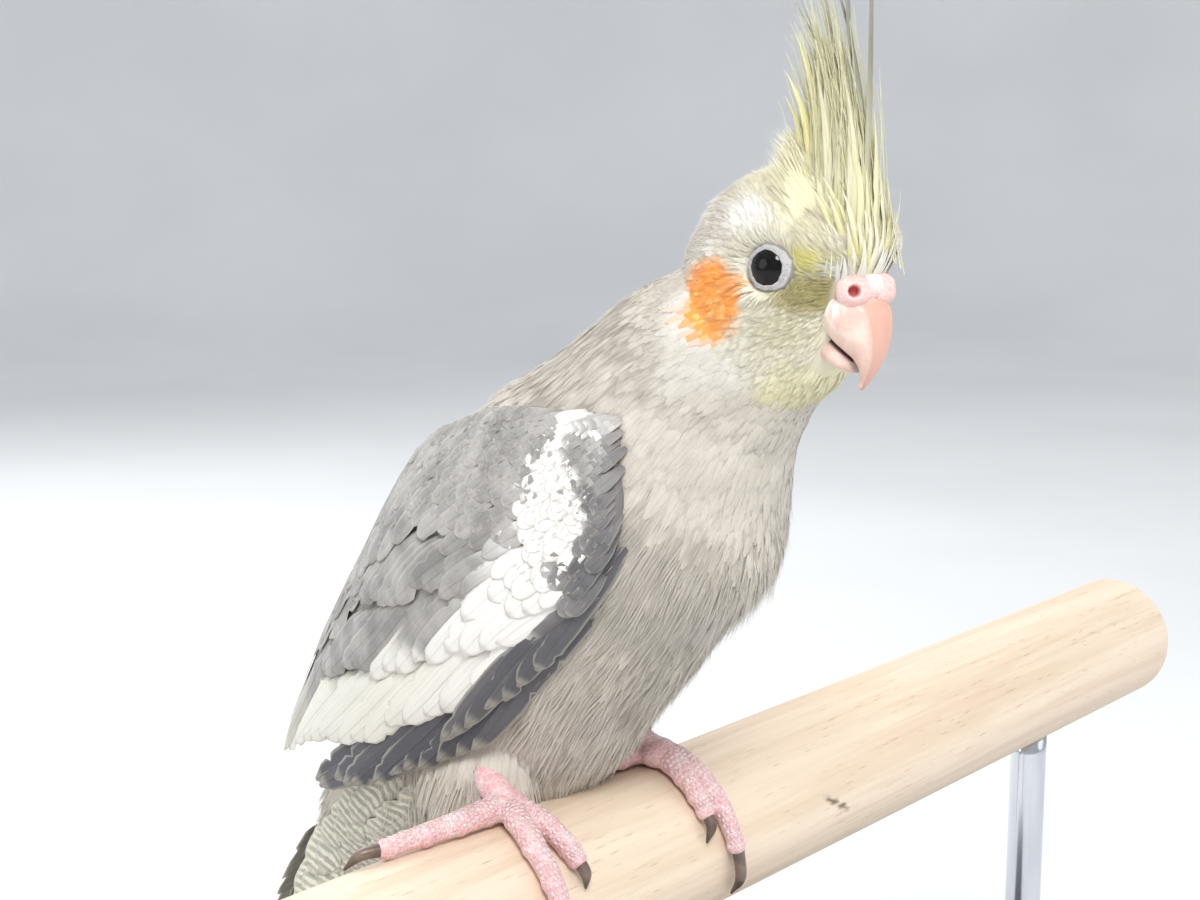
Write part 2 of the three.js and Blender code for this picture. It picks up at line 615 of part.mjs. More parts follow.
function addWing(name, side) {
  const across = 5;
  const rings = WING_CORE.map(({ station, low, high, lift }) => {
    const line = (surface, rise) => Array.from({ length: across + 1 }, (_, j) =>
      surfacePoint(surface, station, mix(low, high, j / across), side, rise));
    return [...line(HULL_PROFILE, lift), ...line(BODY_PROFILE, WING_INSIDE).reverse()];
  });
  const vanes = WING_TIERS.flatMap((tier) => wingTier(side, tier));
  part(`wing_${name}`, joined([solidOf(loft(rings)), ...vanes]), PLUMAGE_WING, bird);
}

// Tail
const tailFrame = new THREE.Group();
tailFrame.position.set(0, TAIL.y, TAIL.z);
tailFrame.rotation.x = -radians(TAIL.drop);
tailFrame.updateMatrix();
bird.add(tailFrame);

// One feather in the tail's frame, from its root beside the middle out to its place in the fan.
function tailVane({ side, height, length, half, from = 0 }) {
  const { height: low } = TAIL.core;
  const [across, out] = [new THREE.Vector3(1, 0, 0), new THREE.Vector3(0, 0, 1)];
  return vane((u) => {
    const x = side * Math.min(1, 0.45 + 1.6 * u);
    const z = mix(low, height, Math.min(1, 0.4 + 2.4 * u));
    return { middle: new THREE.Vector3(x, from + length * u, z), across, out };
  }, half, VANE.outline);
}

function tailVanes() {
  const { pairs, level, length, half, above, below } = TAIL;
  const long = pairs.flatMap(({ side, share }, i) => [-1, 1].map((hand) => {
    const height = i === 0 && hand > 0 ? level : -i * level;
    return tailVane({ side: hand * side, height, length: length * share, half });
  }));
  const coverts = [above, below].flatMap((row) => Array.from({ length: row.count }, (_, i) => {
    const place = i / (row.count - 1) - 0.5;
    const [height, reach] = [row.height - (i % 2) * level, row.length * (1 - Math.abs(place) / 2)];
    return tailVane({ ...row, side: 2 * place * row.side, height, length: reach });
  }));
  return [...long, ...coverts];
}

function addTail() {
  const { height, rings: sizes } = TAIL.core;
  const rings = sizes.map(([y, half, deep]) => Array.from({ length: 12 }, (_, j) => {
    const a = (2 * Math.PI * j) / 12;
    return new THREE.Vector3(half * Math.cos(a), y, height + deep * Math.sin(a));
  }));
  const [body, end] = [[NECK_END, TORSO_END], [TORSO_END - 0.1, TORSO_END + 0.02]];
  const rump = joined([body, end].map(([from, to]) => solidOf(bodyLength(from, to, GAP))));
  const feathers = joined([solidOf(loft(rings)), ...tailVanes()]);
  part("tail", feathers.transform(tailFrame.matrix.toArray()).subtract(rump), PLUMAGE_WING, bird);
}

// Stand
function addStand() {
  part("perch", perchShape().translate(0, 0, PERCH_HEIGHT), BEECH, cockatiel);
  const { width, depth, height, corner, edge, shift } = BASE;
  const [w, d] = [width / 2 - edge, depth / 2 - edge];
  const outline = new THREE.Shape();
  outline.moveTo(-w + corner, -d);
  outline.lineTo(w - corner, -d).absarc(w - corner, -d + corner, corner, -Math.PI / 2, 0, false);
  outline.lineTo(w, d - corner).absarc(w - corner, d - corner, corner, 0, Math.PI / 2, false);
  outline.lineTo(-w + corner, d).absarc(-w + corner, d - corner, corner, Math.PI / 2, Math.PI, false);
  outline.lineTo(-w, -d + corner).absarc(-w + corner, -d + corner, corner, Math.PI, 1.5 * Math.PI, false);
  const slab = new THREE.ExtrudeGeometry(outline, {
    depth: height - 2 * edge, bevelThickness: edge, bevelSize: edge, bevelSegments: 1, curveSegments: 4,
  });
  part("stand_base", solidOf(slab.translate(0, shift, edge)), BASE_PAINT, cockatiel);
  for (const [name, x] of [["right", -ROD.spacing / 2], ["left", ROD.spacing / 2]]) {
    const [from, to] = [height + GAP, PERCH_HEIGHT - PERCH_RADIUS + 4];
    const rod = new THREE.CylinderGeometry(ROD.radius, ROD.radius, to - from, 24).rotateX(Math.PI / 2);
    const cut = solidOf(perchShape(GAP).translate(0, 0, PERCH_HEIGHT));
    part(`stand_rod_${name}`, solidOf(rod.translate(x, 0, (from + to) / 2)).subtract(cut), CHROME, cockatiel);
  }
}

addTorso();
addHead();
addCrest();
for (const [name, side] of Object.entries(SIDES)) {
  addLeg(name, side);
  addWing(name, side);
}
addTail();
addStand();

export default cockatiel;
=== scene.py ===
"""A cockatiel gripping a cut length of beech dowel on a plain stand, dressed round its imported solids.

Sizes are in millimetres and named as in the part's source, and become metres where a mesh is made.
The bird faces -Y, its right side is towards -X, and the perch runs along X.
"""

import json
import logging
import math
from dataclasses import dataclass, field
from enum import Enum
from typing import Any, Sequence

import bpy
import numpy as np
from mathutils import Matrix, Vector

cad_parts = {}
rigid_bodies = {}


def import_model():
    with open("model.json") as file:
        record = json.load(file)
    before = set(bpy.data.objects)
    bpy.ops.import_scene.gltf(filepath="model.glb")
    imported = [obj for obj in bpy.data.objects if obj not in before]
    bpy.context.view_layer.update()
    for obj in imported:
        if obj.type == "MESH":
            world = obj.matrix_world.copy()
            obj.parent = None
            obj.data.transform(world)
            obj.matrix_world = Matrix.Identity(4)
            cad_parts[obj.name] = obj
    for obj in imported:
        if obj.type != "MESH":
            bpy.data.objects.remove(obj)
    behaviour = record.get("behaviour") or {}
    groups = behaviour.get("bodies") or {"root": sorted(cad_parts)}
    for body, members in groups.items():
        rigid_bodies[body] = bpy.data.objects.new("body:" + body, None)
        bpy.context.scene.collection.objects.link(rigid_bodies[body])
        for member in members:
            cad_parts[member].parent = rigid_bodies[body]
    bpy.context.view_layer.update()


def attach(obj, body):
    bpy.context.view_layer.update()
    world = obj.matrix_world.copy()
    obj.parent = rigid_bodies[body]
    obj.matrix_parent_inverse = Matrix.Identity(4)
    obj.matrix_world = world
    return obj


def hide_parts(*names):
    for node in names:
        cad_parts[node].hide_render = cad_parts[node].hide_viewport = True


log = logging.getLogger("cockatiel")

Array = np.ndarray
Object = bpy.types.Object
Material = bpy.types.Material
Socket = bpy.types.NodeSocket
Input = Socket | float | Sequence[float]

MM = 0.001
BAKE_MAP = "OFBake"
PATCH = 0.003  # of the baked map that a small feather takes
VANE_MAP = "Vane"
BIRD = np.array([-47.0, 0.0, 134.0])  # the middle of the perch below the bird
PERCH_RADIUS = 14.0
GAP = 0.45  # between the perch and what lies on it


class Side(Enum):
    """A side of the bird, with its sign along X."""

    RIGHT = -1
    LEFT = 1

    @property
    def word(self) -> str:
        """The side's name as nodes have it."""
        return self.name.lower()


# Curves and surfaces


def smooth(low: float, high: float, value: Array) -> Array:
    """A share from 0 at low to 1 at high that starts and ends softly."""
    t = np.clip((np.asarray(value, float) - low) / (high - low), 0, 1)
    return t * t * (3 - 2 * t)


def between(at: Array, pairs: Sequence[Sequence[float]]) -> Array:
    """Values read between pairs of a place and its value."""
    return np.interp(at, *np.array(pairs, float).T)


def spread(along: Array, values: Array) -> Array:
    """Values evenly spaced from root to tip, read at shares of the length."""
    return np.interp(along, np.linspace(0, 1, len(values)), values)


def circle(count: int) -> Array:
    """Angles once round a circle, evenly spaced."""
    return np.linspace(0, 2 * np.pi, count, endpoint=False)


def distance(*offsets: Array) -> Array:
    """How far off places are, from their offsets along each axis."""
    return np.linalg.norm(np.stack(offsets, 1), axis=1)


def unit(vectors: Array) -> Array:
    """The same directions with a length of 1."""
    return vectors / np.maximum(np.linalg.norm(vectors, axis=-1, keepdims=True), 1e-12)


def turned(axis: str, degrees: float) -> Array:
    """The 3 x 3 matrix of a turn about an axis."""
    return np.array(Matrix.Rotation(math.radians(degrees), 3, axis))


class Curve:
    """A centripetal Catmull-Rom curve through points, read at shares of their count."""

    def __init__(self, points: Sequence[Sequence[float]]) -> None:
        """Keeps the points, any number of values each."""
        self.points = np.asarray(points, float)

    def at(self, shares: Array) -> Array:
        """The curve's points.

        Args:
            shares: From 0 at the first point to 1 at the last.

        Returns:
            One row for each share.
        """
        p, count = self.points, len(self.points)
        place = np.clip(np.atleast_1d(np.asarray(shares, float)), 0, 1) * (count - 1)
        i = np.clip(np.floor(place).astype(int), 0, count - 2)
        w = (place - i)[:, None]
        b, c = p[i], p[i + 1]
        a = np.where((i > 0)[:, None], p[np.maximum(i - 1, 0)], 2 * b - c)
        d = np.where((i + 2 < count)[:, None], p[np.minimum(i + 2, count - 1)], 2 * c - b)
        gaps = [np.maximum(((v - u) ** 2).sum(1) ** 0.25, 1e-6)[:, None] for u, v in ((a, b), (b, c), (c, d))]
        start = (b - a) / gaps[0] - (c - a) / (gaps[0] + gaps[1]) + (c - b) / gaps[1]
        end = (c - b) / gaps[1] - (d - b) / (gaps[1] + gaps[2]) + (d - c) / gaps[2]
        start, end = start * gaps[1], end * gaps[1]
        return b + start * w + (3 * (c - b) - 2 * start - end) * w**2 + (2 * (b - c) + start + end) * w**3

    def along(self, shares: Array) -> Array:
        """The curve's directions at those shares."""
        s = np.atleast_1d(np.asarray(shares, float))
        return unit(self.at(np.minimum(s + 1e-3, 1)) - self.at(np.maximum(s - 1e-3, 0)))


@dataclass(frozen=True)
class BodyForm:
    """The body's surface and the hull round it that the folded wings lie in.

    A place is a station down the spine and an angle: 0 is the side and 90 the back.
    """

    spine: tuple = (
        (-35, 98), (-29.5, 90.5), (-22, 82), (-12.5, 70), (3, 54),
        (17, 34.5), (31.5, 17.5), (46, 3.5), (57, -8.5),
    )
    body: tuple = (
        (10.5, 12, 12), (14.2, 15.6, 15.6), (17.4, 18.8, 18.8), (22.5, 24.8, 24), (25.8, 27.3, 26.5),
        (23.5, 25.4, 26), (19, 20.4, 23), (13.5, 13, 13), (9.5, 6.5, 5),
    )
    hull: tuple = (
        (14, 16, 16), (15.5, 18, 18), (19.5, 21, 21.4), (26.5, 27, 26.8), (30.5, 30, 30.4),
        (29, 28, 31), (25.5, 24, 29.7), (21, 19, 25), (17, 15, 18.5),
    )

    @property
    def last(self) -> int:
        """The last station."""
        return len(self.spine) - 1

    @property
    def line(self) -> Curve:
        """The spine as a curve."""
        return Curve([(0, y, z) for y, z in self.spine])

    def point(self, station: Array, angle: Array, side: int, lift: Array = 0, hull: bool = True) -> Array:
        """Points of the surface.

        Args:
            station: Places down the spine, 0 to 8.
            angle: Degrees from the side (0) to the back (90) or belly (-90).
            side: 1 for the left side and -1 for the right one.
            lift: Height above the surface.
            hull: The wings' hull, and otherwise the body.

        Returns:
            Points in the bird's frame.
        """
        t = np.atleast_1d(np.asarray(station, float)) / self.last
        line = self.line
        middle, along = line.at(t), line.along(t)
        back = np.stack([np.zeros(len(t)), -along[:, 2], along[:, 1]], 1)
        size = Curve(self.hull if hull else self.body).at(t)
        turn = np.radians(angle)
        deep = np.where(np.asarray(angle) > 0, size[:, 2], size[:, 1]) + lift
        out = middle + back * (deep * np.sin(turn))[:, None]
        out[:, 0] += side * (size[:, 0] + lift) * np.cos(turn)
        return out

    def places(self, points: Array) -> tuple[Array, Array]:
        """The station and angle of points near the surface.

        Args:
            points: Points in the bird's frame.

        Returns:
            Stations and angles.
        """
        shares = np.linspace(0, 1, 161)
        line, along = self.line.at(shares), self.line.along(shares)
        apart = points[:, None, 1:] - line[None, :, 1:]
        nearest = np.argmin((apart**2).sum(2), 1)
        off = points - line[nearest]
        back = np.stack([-along[nearest, 2], along[nearest, 1]], 1)
        high = (off[:, 1:] * back).sum(1)
        return shares[nearest] * self.last, np.degrees(np.arctan2(high, np.abs(off[:, 0])))


@dataclass(frozen=True)
class HeadForm:
    """The head's own frame and shape: places are forward, towards the bird's left, and up."""

    y: float = -37.8
    z: float = 99
    yaw: float = 12
    pitch: float = -2.4
    levels: tuple = (
        (-17.2, 5, -3, 4), (-15.5, 8.6, -7, 7.6), (-12.5, 11, -10.5, 10.4), (-8, 12.6, -14.4, 12.5),
        (-3, 14, -16.2, 13.3), (2, 15.4, -16.8, 13), (6.5, 16.2, -15.8, 12), (10.5, 15.2, -13, 10.2),
        (13.8, 12.4, -9, 7.6), (15.8, 8.6, -3.6, 4.6), (16.6, 5, 0, 1.8),
    )
    forehead: tuple = (10.8, 5.4, 9.7, 7.1, 5)
    eye: tuple = (6.6, 8.5, 2.9)

    @property
    def matrix(self) -> Array:
        """The turn from the head's frame to the bird's."""
        return turned("Z", -self.yaw) @ turned("X", self.pitch)

    def out(self, places: Array) -> Array:
        """Places (forward, left, up) as points in the bird's frame."""
        p = np.atleast_2d(np.asarray(places, float))
        local = np.stack([p[:, 1], -p[:, 0], p[:, 2]], 1)
        return local @ self.matrix.T + np.array([0, self.y, self.z])

    def into(self, points: Array) -> Array:
        """Points in the bird's frame as places (forward, left, up)."""
        local = (points - np.array([0, self.y, self.z])) @ self.matrix
        return np.stack([-local[:, 1], local[:, 0], local[:, 2]], 1)

    def ways(self, ways: Array) -> Array:
        """Directions (forward, left, up) as directions in the bird's frame."""
        return self.out(ways) - self.out(np.zeros(3))


BODY = BodyForm()
HEAD = HeadForm()


# Meshes


class Pile:
    """Grids and faces of many shapes that become one mesh, with what each of them carries."""

    def __init__(self) -> None:
        """Starts empty."""
        self.points: list[Array] = []
        self.quads: list[Array] = []
        self.vane: list[Array] = []
        self.bake: list[Array | None] = []
        self.marks: dict[str, list[Array]] = {}
        self.soft: list[Array] = []
        self.count = 0

    def add(
        self, points: Array, quads: Array, vane: Array | None = None, bake: Array | None = None,
        **marks: Array,
    ) -> None:
        """Adds one shape.

        Args:
            points: Its points in the bird's frame.
            quads: Four indexes a face; the last one is repeated in a triangle.
            vane: Across and along it, for each point.
            bake: Its place on the baked map, for each point.
            marks: Values for its points, one or three each.
        """
        n = len(points)
        self.points.append(points)
        self.soft.append(np.ones(len(quads), bool))
        self.quads.append(np.asarray(quads) + self.count)
        self.vane.append(np.zeros((n, 2)) if vane is None else vane)
        self.bake.append(bake)
        for name, value in marks.items():
            value = np.asarray(value, float)
            if value.ndim == 0 or (value.ndim == 1 and len(value) == 3 and n != 3):
                value = np.broadcast_to(value, (n, *value.shape))
            self.marks.setdefault(name, []).append(value)
        self.count += n

    def add_feather(self, points: Array, quads: Array, vane: Array, bake: Array, **marks: Array) -> None:
        """Adds a feather's two faces shaded smooth, and its rim shaded flat."""
        self.add(points, quads, vane, bake, **marks)
        upper = np.asarray(quads) < len(points) // 2
        self.soft[-1] = upper.all(1) | ~upper.any(1)

    def mesh(self, name: str) -> bpy.types.Mesh:
        """The pile as a mesh in metres, with its maps and marks.

        Args:
            name: The mesh's name.

        Returns:
            The mesh, with all marks and the bake's places.
        """
        points = (np.concatenate(self.points) + BIRD) * MM
        quads = np.concatenate(self.quads).astype(np.int32)
        three = quads[:, 2] == quads[:, 3]
        sizes = np.where(three, 3, 4).astype(np.int32)
        keep = np.ones(quads.shape, bool)
        keep[three, 3] = False
        corners = quads[keep]
        starts = np.concatenate([[0], np.cumsum(sizes)[:-1]]).astype(np.int32)
        mesh = bpy.data.meshes.new(name)
        mesh.vertices.add(len(points))
        mesh.vertices.foreach_set("co", points.astype(np.float32).ravel())
        mesh.loops.add(len(corners))
        mesh.loops.foreach_set("vertex_index", corners)
        mesh.polygons.add(len(quads))
        mesh.polygons.foreach_set("loop_start", starts)
        mesh.polygons.foreach_set("loop_total", sizes)
        mesh.polygons.foreach_set("use_smooth", np.concatenate(self.soft))
        mesh.update(calc_edges=True)
        maps = {} if any(bake is None for bake in self.bake) else {BAKE_MAP: self.bake}
        for title, values in (maps | {VANE_MAP: self.vane}).items():
            layer = mesh.uv_layers.new(name=title)
            layer.uv.foreach_set("vector", np.concatenate(values)[corners].astype(np.float32).ravel())
        write_marks(mesh, {title: np.concatenate(values) for title, values in self.marks.items()})
        mesh.validate()
        return mesh


def write_marks(mesh: bpy.types.Mesh, marks: dict[str, Array]) -> None:
    """Keeps values for the mesh's points, one or three each, in attributes of their names.

    Args:
        mesh: The mesh.
        marks: Values for its points, by name.
    """
    for title, values in marks.items():
        values = np.asarray(values, np.float32)
        kind = "FLOAT" if values.ndim == 1 else "FLOAT_VECTOR"
        attribute = mesh.attributes.get(title) or mesh.attributes.new(title, kind, "POINT")
        attribute.data.foreach_set("value" if values.ndim == 1 else "vector", values.ravel())


def linked(
    name: str, mesh: bpy.types.Mesh, material: Material | None = None, soft: bool | None = True,
) -> Object:
    """A new object in the scene.

    Args:
        name: The object's and the mesh's name.
        mesh: Its mesh.
        material: Its finish.
        soft: Shade it smooth; None leaves each face as it is.

    Returns:
        The object.
    """
    mesh.name = name
    if material is not None:
        mesh.materials.clear()
        mesh.materials.append(material)
    if soft is not None:
        mesh.polygons.foreach_set("use_smooth", np.full(len(mesh.polygons), soft))
    thing = bpy.data.objects.new(name, mesh)
    bpy.context.scene.collection.objects.link(thing)
    return thing


def read_points(mesh: bpy.types.Mesh) -> Array:
    """A mesh's points in the bird's frame."""
    points = np.zeros(len(mesh.vertices) * 3)
    mesh.vertices.foreach_get("co", points)
    return points.reshape(-1, 3) / MM - BIRD


def move_points(mesh: bpy.types.Mesh, points: Array) -> None:
    """Moves a mesh's points to places in the bird's frame."""
    mesh.vertices.foreach_set("co", ((points + BIRD) * MM).astype(np.float32).ravel())
    mesh.update()


def drop(mesh: bpy.types.Mesh, *names: str) -> None:
    """Removes those of a mesh's attributes that have these names."""
    for name in names:
        if name in mesh.attributes:
            mesh.attributes.remove(mesh.attributes[name])


def fused(pile: Pile, voxel: float, rounds: int) -> bpy.types.Mesh:
    """One even skin over a pile of closed shapes.

    Args:
        pile: The shapes, which may overlap.
        voxel: The size of the new faces.
        rounds: How many times the skin is smoothed.

    Returns:
        The skin's mesh.
    """
    rough = linked("forms", pile.mesh("forms"))
    remesh = rough.modifiers.new("Remesh", "REMESH")
    remesh.mode, remesh.voxel_size = "VOXEL", voxel * MM
    even = rough.modifiers.new("Smooth", "SMOOTH")
    even.factor, even.iterations = 0.5, rounds
    mesh = bpy.data.meshes.new_from_object(rough.evaluated_get(bpy.context.evaluated_depsgraph_get()))
    bpy.data.objects.remove(rough)
    return mesh


def grid_quads(rows: int, columns: int, ring: bool = False) -> Array:
    """The faces of a grid of points.

    Args:
        rows: Lines of points.
        columns: Points in a line.
        ring: The last column meets the first.

    Returns:
        Four indexes a face.
    """
    r, c = np.meshgrid(np.arange(rows - 1), np.arange(columns if ring else columns - 1), indexing="ij")
    n = (c + 1) % columns
    faces = np.stack([r * columns + c, r * columns + n, (r + 1) * columns + n, (r + 1) * columns + c], -1)
    return faces.reshape(-1, 4)


def loft(rings: Array, closed: bool = True) -> tuple[Array, Array]:
    """A skin over rings of points, with a point at each end.

    Args:
        rings: Rings, points and coordinates.
        closed: Close both ends.

    Returns:
        Points and faces, which look outwards.
    """
    count, sides = rings.shape[:2]
    points = rings.reshape(-1, 3)
    quads = grid_quads(count, sides, True)
    if closed:
        ends = np.stack([rings[0].mean(0), rings[-1].mean(0)])
        j = np.arange(sides)
        n = (j + 1) % sides
        first, last = len(points), len(points) + 1
        base = (count - 1) * sides
        lower = np.stack([np.full(sides, first), n, j, j], 1)
        upper = np.stack([np.full(sides, last), base + j, base + n, base + n], 1)
        points, quads = np.concatenate([points, ends]), np.concatenate([quads, lower, upper])
    a, b, c = (points[quads[:, k]] for k in range(3))
    d = points[quads[:, 3]]
    volume = (np.cross(b, c) * a).sum() + (np.cross(c, d) * a).sum()
    return points, quads if volume > 0 else quads[:, ::-1] if not closed else np.where(
        (quads[:, 2] == quads[:, 3])[:, None], quads[:, [0, 2, 1, 1]], quads[:, ::-1]
    )


def tube(
    points: Sequence, radii: Sequence[float], sides: int = 16, steps: int = 24, ends: float = 0.6,
) -> tuple[Array, Array, Array]:
    """A round tube along a path, with rounded ends.

    Args:
        points: The path, in the bird's frame.
        radii: Its radius at each of them.
        sides: Points round it.
        steps: Rings along it.
        ends: How far the round ends reach, in radii.

    Returns:
        Points, faces and (round, along) for each point.
    """
    path, sizes = Curve(points), Curve([[r] for r in radii])
    cap = np.array([0.0, 0.25, 0.55, 0.8])
    cap_size = np.sqrt(1 - (1 - cap) ** 2) + 0.02
    shares = np.concatenate([np.zeros(len(cap)), np.linspace(0, 1, steps + 1), np.ones(len(cap))])
    scale = np.concatenate([cap_size, np.ones(steps + 1), cap_size[::-1]])
    shift = np.concatenate([-(1 - cap), np.zeros(steps + 1), (1 - cap)[::-1]])
    middle, along, radius = path.at(shares), path.along(shares), sizes.at(shares)[:, 0]
    across = np.zeros_like(along)
    guide = np.array([0.0, 0.0, 1.0]) if abs(along[0, 2]) < 0.9 else np.array([0.0, 1.0, 0.0])
    for i, way in enumerate(along):
        guide = unit(guide - way * (guide @ way))
        across[i] = guide
    other = np.cross(along, across)
    middle = middle + along * (shift * radius * ends)[:, None]
    a = circle(sides)
    size = (radius * scale)[:, None, None]
    ring = np.cos(a)[None, :, None] * across[:, None] + np.sin(a)[None, :, None] * other[:, None]
    rings = middle[:, None] + size * ring
    body, quads = loft(rings)
    around = np.stack(np.broadcast_arrays(a[None] / (2 * np.pi), shares[:, None]), -1).reshape(-1, 2)
    return body, quads, np.concatenate([around, [[0, 0], [0, 1]]])


def ball(
    centre: Sequence[float], radii: Sequence[float], turn: Array | None = None, sides: int = 32,
) -> tuple[Array, Array]:
    """A rounded solid.

    Args:
        centre: Its middle.
        radii: Half of its size along each axis.
        turn: Turns it about its own middle.
        sides: Points round it.

    Returns:
        Points and faces.
    """
    pole = 0.04
    a = np.linspace(pole, np.pi - pole, sides // 2)
    b = circle(sides)
    rings = np.stack([
        np.sin(a)[:, None] * np.cos(b)[None],
        np.sin(a)[:, None] * np.sin(b)[None],
        np.repeat(np.cos(a)[:, None], sides, 1),
    ], -1) * np.asarray(radii)
    if turn is not None:
        rings = rings @ turn.T
    return loft(rings + np.asarray(centre))


# Finishes


class Wiring:
    """Adds nodes to a tree and joins them in the same call."""

    def __init__(self, tree: bpy.types.NodeTree) -> None:
        """Keeps the tree."""
        self.tree = tree

    def add(self, kind: str, values: dict[str | int, Input] | None = None, **settings: Any) -> bpy.types.Node:
        """Adds a node.

        Args:
            kind: The node's type.
            values: A number, colour or socket for each named or numbered input.
            settings: The node's own settings.

        Returns:
            The node.
        """
        node = self.tree.nodes.new(kind)
        for name, value in settings.items():
            setattr(node, name, value)
        for key, value in (values or {}).items():
            if isinstance(value, bpy.types.NodeSocket):
                self.tree.links.new(value, node.inputs[key])
            else:
                node.inputs[key].default_value = value
        return node

    def join(self, value: Socket, node: bpy.types.Node, name: str) -> None:
        """Joins a socket to a node's input of that name."""
        self.tree.links.new(value, node.inputs[name])

    def mark(self, name: str) -> Socket:
        """The number that points carry under a name."""
        return self.add("ShaderNodeAttribute", attribute_name=name).outputs["Fac"]

    def place(self) -> Socket:
        """Places in the piece's own frame."""
        return self.add("ShaderNodeTexCoord").outputs["Object"]

    def vane(self) -> Socket:
        """Places on the vane map."""
        return self.add("ShaderNodeUVMap", uv_map=VANE_MAP).outputs[0]

    def parts(self, vector: Socket) -> bpy.types.bpy_prop_collection:
        """The three numbers of a vector."""
        return self.add("ShaderNodeSeparateXYZ", {0: vector}).outputs

    def maths(self, operation: str, *values: Input, clamp: bool = False) -> Socket:
        """The result of one sum of numbers."""
        values = dict(enumerate(values))
        return self.add("ShaderNodeMath", values, operation=operation, use_clamp=clamp).outputs[0]

    def times(self, first: Input, second: Input) -> Socket:
        """Two numbers multiplied."""
        return self.maths("MULTIPLY", first, second)

    def plus(self, first: Input, second: Input) -> Socket:
        """Two numbers added."""
        return self.maths("ADD", first, second)

    def vector(self, operation: str, values: dict[str | int, Input]) -> Socket:
        """The result of one sum of vectors."""
        return self.add("ShaderNodeVectorMath", values, operation=operation).outputs[0]

    def ramp(self, value: Input, low: float, high: float, start: float = 0, end: float = 1) -> Socket:
        """A number moved from one range to another, softly and within it."""
        values = {0: value, 1: low, 2: high, 3: start, 4: end}
        return self.add("ShaderNodeMapRange", values, interpolation_type="SMOOTHSTEP").outputs[0]

    def blend(self, share: Input, first: Input, second: Input, way: str = "MIX") -> Socket:
        """The first colour with a share of the second."""
        values = {0: share, 6: first, 7: second}
        return self.add("ShaderNodeMix", values, data_type="RGBA", blend_type=way).outputs[2]

    def noise(
        self, place: Socket, scale: float, detail: float = 3, rough: float = 0.5, bend: float = 0
    ) -> Socket:
        """Noise at places, from 0 to 1."""
        values = {"Vector": place, "Scale": scale, "Detail": detail, "Roughness": rough, "Distortion": bend}
        return self.add("ShaderNodeTexNoise", values).outputs[0]

    def stretched(self, place: Socket, scale: Sequence[float]) -> Socket:
        """Places multiplied along each axis."""
        return self.add("ShaderNodeMapping", {"Vector": place, "Scale": scale}).outputs[0]


def rgb(*values: float) -> tuple[float, float, float, float]:
    """A colour in linear light from values as a screen shows them, 0 to 255."""
    straight = [v / 255 for v in values]
    return (*[c / 12.92 if c <= 0.04045 else ((c + 0.055) / 1.055) ** 2.4 for c in straight], 1.0)


@dataclass(frozen=True)
class Finish:
    """What all finishes share: a name, the record's slot and the shader's constants."""

    name: str
    slot: str
    roughness: float = 0.6
    settings: tuple = ()

    def material(self) -> Material:
        """The finish as a material, made once.

        Returns:
            The material of this finish.
        """
        found = bpy.data.materials.get(self.name)
        if found is not None:
            return found
        made = bpy.data.materials.new(self.name)
        made.use_nodes = True
        made.node_tree.nodes.clear()
        wiring = Wiring(made.node_tree)
        shader = wiring.add("ShaderNodeBsdfPrincipled", {"Roughness": self.roughness})
        for socket, value in self.settings:
            shader.inputs[socket].default_value = value
        out = wiring.add("ShaderNodeOutputMaterial", {"Surface": shader.outputs[0]})
        out.location = (400, 0)
        self.paint(wiring, shader)
        return made

    def paint(self, wiring: Wiring, shader: bpy.types.Node) -> None:
        """Joins colour, roughness and bump to the shader."""
        raise NotImplementedError

    @staticmethod
    def bump(wiring: Wiring, shader: bpy.types.Node, height: Socket, strength: float, deep: float) -> None:
        """Joins a height to the shader's normal, with its strength and its depth in metres."""
        values = {"Strength": strength, "Distance": deep, "Height": height}
        wiring.join(wiring.add("ShaderNodeBump", values).outputs[0], shader, "Normal")


